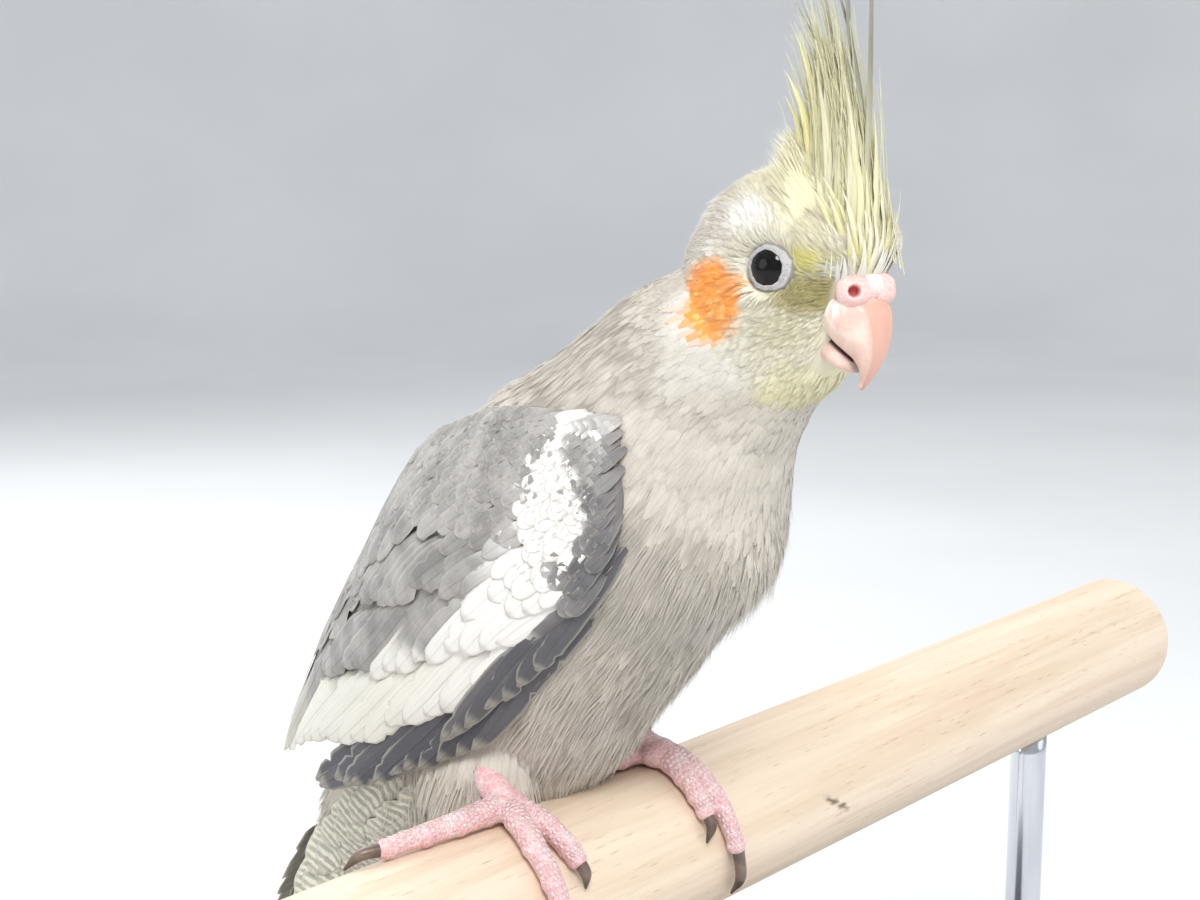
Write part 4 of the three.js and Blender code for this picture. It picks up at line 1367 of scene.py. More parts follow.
@dataclass
class Wing:
    """A folded wing: tiers of long feathers and rows of small coverts over the hull."""

    side: Side
    root_depth: float = 2.2
    tiers: tuple = (
        Tier("primaries", 13, 3.0, 0.1, (-1.7, -1.6), ((3.5, -41), (4.7, -14)), ((5.0, -35), (6.7, 10)),
             Vane(rows=28, notches=2, thick=0.18, ragged=0.015, slant=0.8,
                  outline=((0, 0.5), (0.3, 1), (0.7, 0.95), (0.9, 0.6), (1, 0.1))), white=0, dark=1,
                  fringe=0.35),
        Tier("secondaries", 14, 2.8, 0.1, (-1.0, -0.9), ((3.7, -33), (5.15, 20)), ((4.6, -24), (7.02, 37)),
             Vane(rows=24, notches=2, thick=0.16, ragged=0.02, shaft=0.1), fringe=0.1),
        Tier("primary_coverts", 7, 2.0, 0.1, (-0.9, -0.8), ((2.95, -35), (3.6, -33)),
             ((4.15, -38), (5.1, -25)),
             Vane(rows=18, notches=1, thick=0.16, ragged=0.015, shaft=0.1), white=0, dark=0.95, fringe=0.3),
        Tier("greater_coverts", 15, 2.6, 0.1, (-0.5, -0.45), ((3.15, -30), (4.6, 22)),
             ((4.05, -25), (5.85, 36)),
             Vane(rows=16, notches=1, thick=0.14, ragged=0.02, shaft=0.08), fringe=0.12),
        Tier("tertials", 7, 3.8, 0.12, (-0.5, -0.4), ((4.6, 36), (4.9, 68)), ((7.02, 42), (6.7, 73)),
             Vane(rows=26, notches=3, thick=0.16, ragged=0.02, shaft=0.1), white=0.25, fringe=0.6, loose=0.1),
        Tier("long_scapulars", 10, 3.2, 0.1, (-0.3, -0.25), ((3.9, 37), (4.3, 73)), ((5.9, 41), (6.2, 76)),
             Vane(rows=22, notches=2, thick=0.1, camber=0.1, ragged=0.02, shaft=0.06), white=0.1, fringe=0.5,
             loose=0.25),
        Tier("median_coverts", 16, 2.4, 0.1, (-0.2, -0.15), ((2.95, -27), (4.0, 24)),
             ((3.65, -23), (4.95, 36)),
             Vane(rows=13, notches=1, thick=0.08, camber=0.1, ragged=0.02, shaft=0.04), fringe=0.2,
             loose=0.1),
        Tier("scapulars", 16, 3.0, 0.12, (-0.15, -0.1), ((3.2, 36), (4.0, 74)), ((4.9, 42), (5.5, 78)),
             Vane(rows=18, notches=2, thick=0.09, camber=0.1, ragged=0.02, shaft=0.04), white=0, fringe=0.35,
             loose=0.26),
    )
    slope: float = 0.26
    small_slope: float = 0.27
    degree: float = 0.5  # millimetres of the hull in one degree
    map_degrees: float = 400  # across the baked map
    first: float = 2.1
    last: float = 5.75
    low_edge: tuple = (
        (2.1, -2), (2.26, -10), (2.5, -19), (2.78, -28), (3.12, -34), (3.57, -37), (3.8, -36),
    )
    high_edge: tuple = (
        (2.1, -1), (2.3, 7), (2.6, 24), (2.9, 33), (3.43, 44), (3.8, 55), (4.5, 66), (5.75, 76),
    )
    above_rows: tuple = ((2.9, -20), (3.8, 24), (4.5, 40), (5.75, 46))
    span: tuple = ((2.1, 0.17), (2.6, 0.26), (3.8, 0.44), (4.6, 0.68), (5.75, 1.0))
    half: tuple = ((2.1, 0.9), (2.6, 1.3), (3.8, 2.0), (5.75, 3.1))
    lift: tuple = ((2.1, -1.4), (2.5, -0.1), (3.8, 0.1), (5, 0.0))
    drift: tuple = ((-35, 0), (0, 3), (45, 3.5))
    core: tuple = (
        (2.35, -8, 0, -2.2), (2.7, -24, 16, -1.1), (3.3, -34, 38, -0.75),
        (4, -30, 57, -0.95), (4.7, 0, 66, -1.2), (5.4, 36, 69, -1.5), (6, 52, 68, -2.0),
    )

    def place(
        self, root: Sequence[float], tip: Sequence[float], lift: float, steps: int = 20,
        slope: float | None = None,
    ) -> tuple[Array, Array, Array, Array]:
        """A line over the hull from root to tip.

        Args:
            root: Station and angle.
            tip: Station and angle.
            lift: Height above the hull.
            steps: Points along it.
            slope: How much lower its root lies than its tip, if not the wing's own.

        Returns:
            Points, the way out of the hull, stations and angles.
        """
        u = np.linspace(0, 1, steps)
        station = root[0] + (tip[0] - root[0]) * u
        angle = root[1] + (tip[1] - root[1]) * u
        sunk = np.maximum(0, self.root_depth + lift) * np.maximum(0, 1 - u / 0.35)
        height = lift - sunk - (self.slope if slope is None else slope) * (1 - u)
        points = BODY.point(station, angle, self.side.value, height)
        along = np.gradient(points, axis=0)
        around = BODY.point(station, angle + 1, self.side.value, height) - points
        out = unit(np.cross(along, around)) * self.side.value
        middle = BODY.line.at(station / BODY.last)
        out = out * np.sign((out * (points - middle)).sum(1, keepdims=True))
        return points, out, station, angle

    @staticmethod
    def spot(ends: tuple, share: float, loose: float, draw: np.random.Generator) -> list[float]:
        """A station and an angle between two ends, the angle twelve times as loose as the station."""
        return [a + (b - a) * share + draw.normal(0, loose) * scale for a, b, scale in zip(*ends, (1, 12))]

    def add_tier(self, pile: Pile, shelf: Shelf, tier: Tier, draw: np.random.Generator) -> None:
        """Adds a tier's feathers to the pile.

        Args:
            pile: Takes the feathers.
            shelf: Gives them their patches.
            tier: The tier.
            draw: Draws their places and tones.
        """
        for i in range(tier.count):
            share = i / (tier.count - 1)
            lift = tier.lift[0] + (tier.lift[1] - tier.lift[0]) * share + draw.normal(0, 0.06)
            root = self.spot(tier.roots, share, 0.01, draw)
            tip = self.spot(tier.tips, share, tier.loose, draw)
            path, out, station, angle = self.place(root, tip, lift)
            half = tier.half * draw.uniform(0.93, 1.07)
            points, faces, vane = tier.vane.shape(path, out, half, draw, tier.tilt * self.side.value)
            white = tier.white * MARKS.on_wing(station, angle, draw.normal(0, 1.2))
            white = spread(vane[:, 1], white)
            dark = tier.dark * draw.uniform(0.85, 1.0)
            cream = white * 0.22 * smooth(4.2, 5.6, float(station[-1]))
            marks = np.stack([white * (1 - cream), 2 * cream, np.zeros_like(white)], 1)
            pile.add_feather(
                points, faces, vane, shelf.place(vane), marks=marks, dark=dark, fringe=tier.fringe, bars=0.0,
                hue=draw.uniform(0, 1),
            )

    def add_scales(self, pile: Pile, draw: np.random.Generator) -> None:
        """Adds the rows of small coverts from the wing's bend back to the median ones.

        Args:
            pile: Takes the feathers.
            draw: Draws their places and tones.
        """
        station, row = self.first, 0
        while station < self.last:
            low, high = between(station, self.low_edge), between(station, self.high_edge)
            if station > 3.25:
                low = max(low, between(station, self.above_rows) + draw.normal(0, 2.5))
            span, half = float(between(station, self.span)), float(between(station, self.half))
            step = half * 1.3 / self.degree
            for angle in np.arange(low + (row % 2) * step / 2, high, step):
                at = (station + draw.normal(0, 0.1 * span), angle + draw.normal(0, 0.2 * step))
                tip = (at[0] + span * draw.uniform(0.85, 1.2), at[1] + between(angle, self.drift))
                lift = between(station, self.lift) + draw.normal(0, 0.01)
                path, out, stations, angles = self.place(at, tip, lift, SMALL_VANE.rows, self.small_slope)
                wide = half * draw.uniform(0.9, 1.15)
                points, faces, vane = SMALL_VANE.shape(path, out, wide, draw, 0.03 * self.side.value)
                white = spread(vane[:, 1], MARKS.on_wing(stations, angles, draw.normal(0, 1.3)))
                dark = float(MARKS.dark_wing(stations[-2:-1], angles[-2:-1])[0]) * draw.uniform(0.5, 0.8)
                white = np.maximum(white, 0.3 * float(smooth(2.6, 2.2, station)) * draw.uniform(0, 1.3))
                marks = np.stack([white, 0 * white, 0 * white], 1)
                place = np.array(
                    [0.5 + self.side.value * (angle + 90) / self.map_degrees, station / BODY.last]
                )
                pile.add_feather(
                    points, faces, vane, place + (vane - 0.5) * PATCH, marks=marks, dark=dark, fringe=0.2,
                    bars=0.0,
                    hue=draw.uniform(0, 1),
                )
            station, row = station + 0.3 * span, row + 1

    def build(self) -> list[Object]:
        """Makes the wing.

        Returns:
            The long feathers, the small coverts and the flesh.
        """
        draw = np.random.default_rng(11 + self.side.value)
        word = self.side.word
        pile, shelf = Pile(), Shelf(12, 6)
        for tier in self.tiers:
            self.add_tier(pile, shelf, tier, draw)
        long = linked(f"wing_{word}_feathers", pile.mesh("wing"), WING_PLUMAGE.material(), soft=None)
        scales = Pile()
        self.add_scales(scales, draw)
        small = linked(f"wing_{word}_coverts", scales.mesh("coverts"), WING_PLUMAGE.material(), soft=None)
        core = linked(f"wing_{word}_flesh", self.flesh().mesh("flesh"), WING_PLUMAGE.material())
        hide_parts(f"wing_{word}")
        return [long, small, core]

    def flesh(self) -> Pile:
        """The wing's own body under its coverts, between the source's stations.

        Returns:
            Its closed shape.
        """
        sides = 24
        rings = []
        for station, low, high, lift in Curve(self.core).at(np.linspace(0, 1, 28)):
            angles = np.linspace(low, high, sides)
            stations = np.full(sides, station)
            top = BODY.point(stations, angles, self.side.value, lift)
            under = BODY.point(stations, angles, self.side.value, 0.4, hull=False)[::-1]
            rings.append(np.concatenate([top, under]))
        points, faces = loft(np.array(rings))
        station, angle = BODY.places(points)
        white = MARKS.on_wing(station, angle)
        under = np.arange(len(points)) % (2 * sides) >= sides
        place = np.stack([(angle + 90) / self.map_degrees + 0.5 * under, station / BODY.last], 1)
        pile = Pile()
        pile.add(
            points, faces, None, place, marks=np.stack([white, 0 * white, 0 * white], 1),
            dark=0.6 * MARKS.dark_wing(station, angle), fringe=0.0, bars=0.0, hue=0.3,
        )
        return pile


@dataclass
class Tail:
    """The tail's long feathers with the coverts above and below their roots."""

    y: float = 55.5
    z: float = 0.2
    drop: float = 60
    length: float = 128
    level: float = 0.9
    half: float = 5
    pairs: tuple = ((2.4, 1), (4.6, 0.93), (6.4, 0.83), (7.8, 0.74), (9, 0.66), (9.8, 0.58))
    core: float = -3
    long: Vane = Vane(
        rows=44, notches=6, outline=((0, 0.4), (0.25, 0.9), (0.6, 1), (0.86, 0.78), (0.96, 0.42), (1, 0.06)),
    )
    covert: Vane = Vane(rows=20, notches=3, ragged=0.05)
    vent: Vane = Vane(
        rows=12, thick=0.1, shaft=0.08, notches=2, ragged=0.04, camber=0.12,
        columns=(-1, -0.5, -0.05, 0.05, 0.5, 1),
    )
    coverts: tuple = (
        (7, 36, 5.4, 3.4, 2.4, 2, 0.15), (9, 50, 7, 3.3, -6.2, 0, 0.85), (7, 34, 6.4, 3.2, -7.0, -1, 0.8),
    )
    body_end: float = 7.7  # the last station with feathers of its own

    def out(self, points: Array) -> Array:
        """Points of the tail's own frame in the bird's."""
        return np.asarray(points) @ turned("X", -self.drop).T + np.array([0, self.y, self.z])

    def add(
        self, pile: Pile, shelf: Shelf, draw: np.random.Generator, vane: Vane, place: tuple[float, float],
        size: tuple[float, float], start: float, **marks: float,
    ) -> None:
        """Adds one feather, from its root beside the middle out to its place.

        Args:
            pile: Takes the feather.
            shelf: Gives it its patch.
            draw: Draws its notches and tone.
            vane: How it is shaped.
            place: Its side and height.
            size: Its length and half width.
            start: How far down the tail its root lies.
            marks: Its marks, where they aren't the usual ones.
        """
        side, height = place
        length, half = size
        u = np.linspace(0, 1, 30)
        x = side * np.minimum(1, 0.45 + 1.6 * u)
        z = self.core + (height - self.core) * np.minimum(1, 0.4 + 2.4 * u) + 0.9 * np.sin(np.pi * u) * 0.5
        path = self.out(np.stack([x, start + length * u, z], 1))
        out = np.repeat(self.way([0, 0, 1]), len(u), 0)
        points, faces, flat = vane.shape(path, out, half, draw, -0.02 * side / 5, 0.12 * np.sign(side))
        usual = {
            "dark": 0.0, "fringe": 0.5, "bars": 0.3, "hue": draw.uniform(0, 1), "white": 0.0, "yellow": 0.0
        }
        own = usual | marks
        colours = np.array([own.pop("white"), own.pop("yellow"), 0])
        pile.add_feather(points, faces, flat, shelf.place(flat), marks=colours, **own)

    def way(self, direction: Sequence[float]) -> Array:
        """A direction of the tail's own frame in the bird's."""
        return self.out([direction]) - self.out([[0, 0, 0]])

    def build(self) -> Object:
        """Makes the tail.

        Returns:
            The tail as one piece.
        """
        draw = np.random.default_rng(5)
        pile, shelf = Pile(), Shelf(14, 12)
        for i, (side, share) in enumerate(self.pairs):
            for hand in (-1, 1):
                height = self.level if i == 0 and hand > 0 else -i * self.level
                size = (self.length * share, self.half)
                self.add(
                    pile, shelf, draw, self.long, (hand * side, height), size, 0,
                    bars=0.12 + 0.1 * i, white=0.0 + 0.05 * i, yellow=0.06 * i,
                )
        for count, length, wide, half, height, start, bars in self.coverts:
            for i in range(count):
                across = 2 * i / (count - 1) - 1
                place = (across * wide, height - (i % 2) * 0.6 * np.sign(height) * -1)
                size = (length * (1 - 0.25 * abs(across)), half)
                white = 0.12 if height < 0 else 0
                self.add(pile, shelf, draw, self.covert, place, size, start, bars=bars, white=white)
        self.add_vent(pile, shelf, draw)
        tail = linked("tail_feathers", pile.mesh("tail"), TAIL_PLUMAGE.material(), soft=None)
        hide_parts("tail")
        return tail

    def add_vent(self, pile: Pile, shelf: Shelf, draw: np.random.Generator) -> None:
        """Adds the barred coverts under the rump, from the legs back to the tail.

        Args:
            pile: Takes the feathers.
            shelf: Gives them their patches.
            draw: Draws their places.
        """
        u = np.linspace(0, 1, 14)
        back = unit(self.way([0, 1, 0]))
        for row, station in enumerate(np.arange(5.5, self.body_end, 0.28)):
            for angle in np.arange(-86 + (row % 2) * 7, -6, 14.0):
                for side in Side:
                    places = station + draw.normal(0, 0.04) + (1.15 + 0.2 * draw.uniform()) * u
                    turn = np.full(len(u), angle + draw.normal(0, 2))
                    on_body = np.minimum(places, self.body_end)
                    past = back * (np.maximum(0, places - self.body_end) * 16)[:, None]
                    path = BODY.point(on_body, turn, side.value, 0.4 + 1.3 * u, hull=False) + past
                    out = unit(path - BODY.line.at(on_body / BODY.last) - past)
                    half = 3.3 * draw.uniform(0.9, 1.1)
                    points, faces, flat = self.vent.shape(path, out, half, draw, 0.04 * side.value)
                    pile.add_feather(
                        points, faces, flat, shelf.place(flat), marks=np.array([0.12, 0.1, 0]), dark=0.08,
                        fringe=0.5, bars=0.9, hue=draw.uniform(0, 1),
                    )


@dataclass
class Crest:
    """The raised crest: long curved feathers in rows behind the forehead, with wispy edges."""

    rows: tuple = (
        (17, 6.6, 8, 19, 2, 20), (16.6, 7.4, 9, 25, 2, 25), (16, 8.4, 10, 28, 3, 27),
        (15, 9.3, 11, 30, 2, 27), (13.8, 10, 11, 31, 1, 26), (12.6, 10.8, 11, 31, 1, 25),
        (11.4, 11.5, 11, 30, 2, 24), (10.2, 12.1, 10, 28, 3, 22), (9, 12.7, 10, 25, 5, 20),
        (7.8, 13.1, 9, 20, 8, 18), (6.6, 13.5, 8, 14, 12, 20), (5.4, 13.9, 7, 9.5, 14, 24),
        (4, 14.3, 6, 6.2, 8, 30), (2.4, 14.7, 5, 4, -8, 34), (0.8, 14.8, 5, 3, -30, 34),
    )
    tuft: tuple = (
        (16.6, 6.0, 19, 8, 14, 0.2), (16.7, 5.2, 20, 7, 22, 0.3), (16.6, 4.4, 20, 6, 30, 0.45),
        (16.3, 3.6, 20, 5, 38, 0.6), (15.9, 2.9, 19, 4, 46, 0.8), (15.4, 2.3, 18, 3.2, 52, 0.9),
    )
    blades: tuple = (
        (9.5, 12.5, -3, 24, 8, 40), (8.5, 12.8, -3.2, 19, 6, 46), (7.6, 13, -3, 15, 4, 44),
        (9, 12.7, 3, 22, 8, 42), (8, 13, 3, 16, 4, 44),
    )
    shafts: tuple = (
        (11.5, 11.4, 1.0, 36, 4, 50), (14.8, 9.6, 0, 37, 10, 38), (16, 8.4, -0.6, 43, 4, 5),
        (15.3, 9, 0.8, 39, 0, 14), (12.8, 10.8, -1.2, 41, 2, 28), (13, 10.6, -0.4, 46.6, 2, 6),
        (10.4, 12.2, 0.5, 30, 2, 32),
    )
    spacing: float = 0.92
    half: float = 0.82
    sunk: float = 2.5
    shorter: float = 0.95
    wisps: int = 900
    strand: float = 0.1
    crown: tuple = ((2, 14.6), (6, 13.7), (12, 11.2), (18, 6.2))
    wisp_length: tuple = ((2, 3), (6, 10), (9, 22), (12, 29), (15, 30), (18, 20))

    def line(
        self, forward: float, up: float, left: float, length: float, lean: float, bend: float, spread: float,
        steps: int = 24,
    ) -> tuple[Array, Array]:
        """A curved line out of the crown, with the way its front face looks.

        Args:
            forward: The root's place in the head's frame, as up and left.
            up: Its height.
            left: Its side.
            length: From the skin to the tip.
            lean: Degrees forwards at the root.
            bend: Degrees that the tip leans further back than the root.
            spread: Degrees outwards.
            steps: Points along it.

        Returns:
            Points and ways in the bird's frame.
        """
        u = np.linspace(0, 1, steps)
        tip, side = np.radians(lean - bend * u), np.full(steps, math.sin(math.radians(spread)))
        ways = np.stack([np.sin(tip), side, np.cos(tip)], 1) * (length + self.sunk) / (steps - 1)
        places = np.array([forward, left, up - self.sunk]) + np.cumsum(ways, 0) - ways[0]
        face = np.stack([np.cos(tip), 0.3 * left * np.ones(steps), -np.sin(tip)], 1)
        return HEAD.out(places), HEAD.ways(face)

    def build(self) -> list[Object]:
        """Makes the crest's feathers and its loose strands.

        Returns:
            The crest's vanes.
        """
        draw = np.random.default_rng(3)
        pile, shelf = Pile(), Shelf(20, 17)
        vane = Vane(rows=15, notches=1, thick=0.1, shaft=0.05, ragged=0.02, slant=0.7, camber=0.3,
                    outline=((0, 0.5), (0.2, 0.95), (0.45, 1), (0.7, 0.55), (0.88, 0.2), (1, 0.03)))
        for forward, up, count, length, lean, bend in self.rows:
            for i in range(count):
                fan = i - (count - 1) / 2
                tall = length * self.shorter ** abs(fan) * draw.uniform(0.82, 1.12)
                path, out = self.line(forward - 0.6 * (i % 2), up - 0.35 * abs(fan), fan * self.spacing, tall,
                                      lean + draw.normal(0, 2), bend + draw.normal(0, 4),
                                      -1.6 * fan + draw.normal(0, 1.5))
                points, faces, flat = vane.shape(path, out, self.half * draw.uniform(0.75, 1.2), draw)
                yellow = 0.2 + 0.35 * float(smooth(9, 4, forward)) + draw.uniform(-0.15, 0.15)
                dark = 0.02 + 0.16 * smooth(0.4, 1, flat[:, 1])
                dark = dark * float(smooth(20, 27, length)) * draw.uniform(0, 1) ** 2
                colours = np.array([0.55 * float(smooth(7, 2, forward)), yellow, 0])
                pile.add_feather(
                    points, faces, flat, shelf.place(flat), marks=colours, dark=dark, fringe=0.1, bars=0.0,
                    hue=draw.uniform(0, 1),
                )
        fine = Vane(rows=7, notches=0, thick=0.06, shaft=0.0, slant=0.3, camber=0.3, columns=(-1, 0, 1),
                    outline=((0, 0.6), (0.3, 1), (0.7, 0.7), (1, 0.1)))
        for forward, up, count, length, lean, white in self.tuft:
            for i in range(count):
                fan = i - (count - 1) / 2
                path, out = self.line(forward - 0.028 * fan**2, up, fan * 0.44,
                                      length * draw.uniform(0.75, 1.2),
                                      lean + draw.normal(0, 5), 45, 2.4 * fan + draw.normal(0, 5))
                points, faces, flat = fine.shape(path, out, 0.45, draw)
                spot = float(
                    smooth(0.5, -1, fan * 0.44) * smooth(-5.2, -3, fan * 0.44) * smooth(0.95, 0.6, white)
                )
                spot = spot * smooth(0.7, 0.4, flat[:, 1])
                own = np.stack([white * (1 - 0.9 * spot), 0.6 + 0.4 * spot, 0 * spot], 1)
                pile.add_feather(
                    points, faces, flat, shelf.place(flat), marks=own, dark=0.0, fringe=0.1, bars=0.0,
                    hue=draw.uniform(0, 1),
                )
        for forward, up, left, length, lean, bend in self.blades:
            path, out = self.line(forward, up, left, length, lean, bend, -left)
            points, faces, flat = vane.shape(path, out, 0.8, draw)
            pile.add_feather(
                points, faces, flat, shelf.place(flat), marks=np.array([0.1, 0.85, 0]), dark=0.0, fringe=0.1,
                bars=0.0, hue=draw.uniform(0, 1),
            )
        slim = Vane(rows=22, notches=0, thick=0.22, shaft=0.14, ragged=0.01, slant=0.5, camber=0.3,
                    outline=((0, 0.6), (0.3, 1), (0.6, 0.72), (0.85, 0.45), (1, 0.08)))
        for forward, up, left, length, lean, bend in self.shafts:
            path, out = self.line(forward, up, left, length, lean, bend, draw.normal(-left, 1))
            points, faces, flat = slim.shape(path, out, 0.55, draw)
            pile.add_feather(
                points, faces, flat, shelf.place(flat), marks=np.array([0, 0.15, 0]),
                dark=0.3 + 0.4 * smooth(0.2, 0.6, flat[:, 1]), fringe=0.1, bars=0.0, hue=draw.uniform(0, 1),
            )
        crest = linked("crest_feathers", pile.mesh("crest"), CREST_PLUMAGE.material(), soft=None)
        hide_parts("crest")
        return [crest, self.strands(draw)]

    def strands(self, draw: np.random.Generator) -> Object:
        """The fine loose strands between the long feathers.

        Args:
            draw: Draws their places and lengths.

        Returns:
            The strands as one piece.
        """
        steps = 9
        lines, marks = [], {"marks": [], "dark": [], "hue": [], "taper": [], "root_place": []}
        for _ in range(self.wisps):
            forward = draw.uniform(0.5, 17.6)
            up = float(between(forward, self.crown))
            length = float(between(forward, self.wisp_length)) * draw.uniform(0.6, 1.1)
            left = draw.normal(0, 2.8)
            path, _ = self.line(
                forward, up - 0.08 * left**2, left, length, draw.normal(3, 3), 24 + draw.normal(0, 7),
                -1.6 * left + draw.normal(0, 2.5), steps,
            )
            lines.append(path)
            own = (
                np.array([0.2, draw.uniform(0.25, 0.5), 0]), 0.1 * draw.uniform(0, 1) ** 2, draw.uniform(0, 1)
            )
            for name, value in zip(("marks", "dark", "hue"), own):
                marks[name].append(np.broadcast_to(value, (steps, *np.shape(value))))
            marks["taper"].append(np.linspace(1, 0.3, steps))
            marks["root_place"].append(np.tile([0.5 + left / 30, 0.3 + forward / 60, 0], (steps, 1)))
        first = np.arange(self.wisps)[:, None] * steps + np.arange(steps - 1)[None]
        source = carrier(np.concatenate(lines), np.stack([first, first + 1], -1).reshape(-1, 2),
                         {name: np.concatenate(values) for name, values in marks.items()})
        mesh = StrandTree().run(source, {"Thickness": self.strand * MM, "Finish": CREST_PLUMAGE.material()})
        bpy.data.objects.remove(source)
        return linked("crest_strands", mesh, CREST_PLUMAGE.material())


# Skin and coat

COAT_DATA = ("lie", "coat_length", "face", "crown", "neck", "front", "belly", "thigh", "back")


@dataclass
class Skin:
    """One skin over torso, neck, head and thighs, a coat's depth inside their solids."""

    voxel: float = 0.8
    depth_share: float = 0.14
    thigh: tuple = (14, 12, 26, 8.2, 12, 13.4, -22)
    shin: tuple = (15.6, 8.5, 21.6, 6.0, 6.6, 4.6)
    leg: tuple = (14, 10, 22)
    bare_eye: float = 3.15
    body_coat: tuple = ((0, 6.5), (1, 7.5), (2.2, 10), (3.5, 13), (6, 13.5), (8, 14))
    head_coat: tuple = ((4, 1.6), (8, 2.3), (14, 3.6), (20, 4.8), (30, 6.0), (36, 6.8))
    eye_coat: tuple = ((3.0, 0.36), (4.5, 0.6), (8, 1))
    thing: Object | None = field(init=False, default=None)

    def forms(self) -> Pile:
        """The closed forms that the skin joins.

        Returns:
            The forms that the skin is fused from.
        """
        pile = Pile()
        rings = []
        for station in np.linspace(0, 7.9, 80):
            turn = np.linspace(-90, 270, 64, endpoint=False)
            angle = np.where(turn > 90, 180 - turn, turn)
            one = BODY.point(np.full(64, station), angle, 1, 0, hull=False)
            one[:, 0] *= np.where(turn > 90, -1, 1)
            rings.append(one)
        pile.add(*loft(np.array(rings)))
        levels = Curve(HEAD.levels).at(np.linspace(0, 1, 48))
        a = circle(64)
        rings = [HEAD.out(np.stack([
            (front + back) / 2 + (front - back) / 2 * np.cos(a), width * np.sin(a), np.full(64, up),
        ], 1)) for up, front, back, width in levels]
        pile.add(*loft(np.array(rings)))
        forward, up, wide, deep, high = HEAD.forehead
        points, faces = ball((0, 0, 0), (deep, wide, high))
        pile.add(HEAD.out(points + np.array([forward, 0, up])), faces)
        x, y, z, *radii, lean = self.thigh
        for side in Side:
            pile.add(*ball((side.value * x, y, z), radii, turned("X", lean)))
            pile.add(*ball((side.value * self.shin[0], *self.shin[1:3]), self.shin[3:]))
        return pile

    def build(self) -> Object:
        """Makes the skin and gives it what the coat reads.

        Returns:
            The skin.
        """
        mesh = fused(self.forms(), self.voxel, 8)
        skin = linked("skin", mesh, BODY_PLUMAGE.material())
        points = self.softened(mesh, read_points(mesh))
        move_points(mesh, points)
        normals = np.zeros(len(points) * 3)
        mesh.vertex_normals.foreach_get("vector", normals)
        normals = normals.reshape(-1, 3)
        length = self.coat_length(points)
        inside = normals * (length * self.depth_share)[:, None]
        points = points - inside - normals * self.socket(points)[:, None]
        move_points(mesh, points)
        self.unwrap(skin)
        self.write(mesh, points, normals, length)
        self.thing = skin
        return skin

    @staticmethod
    def softened(mesh: bpy.types.Mesh, points: Array) -> Array:
        """The points with the fold between head and neck evened out.

        Args:
            mesh: The mesh that they belong to.
            points: Its points in the bird's frame.

        Returns:
            The moved points.
        """
        edges = np.zeros(len(mesh.edges) * 2, np.int32)
        mesh.edges.foreach_get("vertices", edges)
        a, b = edges.reshape(-1, 2).T
        count = len(points)
        near = np.bincount(np.concatenate([a, b]), minlength=count)[:, None]
        forward, left, up = HEAD.into(points).T
        reach = distance(forward + 1, left, (up + 17) * 0.9)
        share = (smooth(22, 14, reach) * smooth(-3, -9, up) * smooth(15, 8, forward))[:, None]
        for _ in range(160):
            total = np.zeros_like(points)
            for k in range(3):
                total[:, k] = np.bincount(a, points[b, k], count) + np.bincount(b, points[a, k], count)
            points = points + 0.6 * share * (total / near - points)
        return points

    def coat_length(self, points: Array) -> Array:
        """How long the feathers are.

        Args:
            points: Points of the skin.

        Returns:
            A length for each point.
        """
        forward, left, up = HEAD.into(points).T
        side = np.abs(left)
        station, _ = BODY.places(points)
        body = between(station, self.body_coat)
        head = between(distance(forward - 15.5, left * 0.8, up + 2), self.head_coat)
        head = head * between(distance(forward - 7.4, side - 11, up - 2.9), self.eye_coat)
        head = head * (1 + 1.4 * smooth(4, 11, up) * smooth(8.5, 13, forward) * smooth(10, 7, side))
        share = smooth(0.5, 1.6, station) * smooth(18, 25, distance(forward + 2, left, up))
        return head + (body - head) * share

    @staticmethod
    def socket(points: Array) -> Array:
        """How far the skin sinks round each eye."""
        forward, left, up = HEAD.into(points).T
        off = np.hypot(forward - 7.0, up - 2.9)
        return 2.4 * smooth(3.7, 2.5, off) * smooth(4, 8, np.abs(left))

    def from_leg(self, points: Array) -> Array:
        """How far points are from the middle of the nearer leg."""
        x, y, z = self.leg
        return distance(np.abs(points[:, 0]) - x, points[:, 1] - y, points[:, 2] - z)

    def lie(self, points: Array, normals: Array) -> Array:
        """The way the feathers lie.

        Args:
            points: Points of the skin.
            normals: The ways out of it.

        Returns:
            A direction along the skin for each point.
        """
        forward, left, up = HEAD.into(points).T
        station, _ = BODY.places(points)
        along = BODY.line.along(station / BODY.last)
        from_bill = unit(HEAD.ways(np.stack([forward - 17, left * 0.9, up + 1.5], 1)))
        crown = smooth(2, 9, up) * smooth(-1, 6, forward)
        to_crest = HEAD.ways(np.stack([-0.35 + 0 * up, 0 * up, np.ones(len(up))], 1))
        off_eye = np.stack([forward - 7.4, 0 * left, up - 2.9], 1)
        near_eye = 1.6 * smooth(6.5, 3.2, np.linalg.norm(off_eye, axis=1)) * smooth(4, 7, np.abs(left))
        round_eye = HEAD.ways(unit(off_eye)) * near_eye[:, None]
        head_way = unit(from_bill + 0.4 * along + crown[:, None] * 1.6 * to_crest + round_eye)
        share = smooth(16, 26, distance(forward - 3, left, up))[:, None]
        outward = np.stack([np.sign(points[:, 0]), 0 * up, -0.4 + 0 * up], 1)
        outward = outward * 0.16 * smooth(4.5, 1.5, station)[:, None]
        lie = head_way * (1 - share) + (along + outward) * share
        low = smooth(19, 11, self.from_leg(points))[:, None]
        lie = lie * (1 - low) + np.array([0, 0.15, -1.0]) * low
        return unit(lie - normals * (lie * normals).sum(1, keepdims=True))

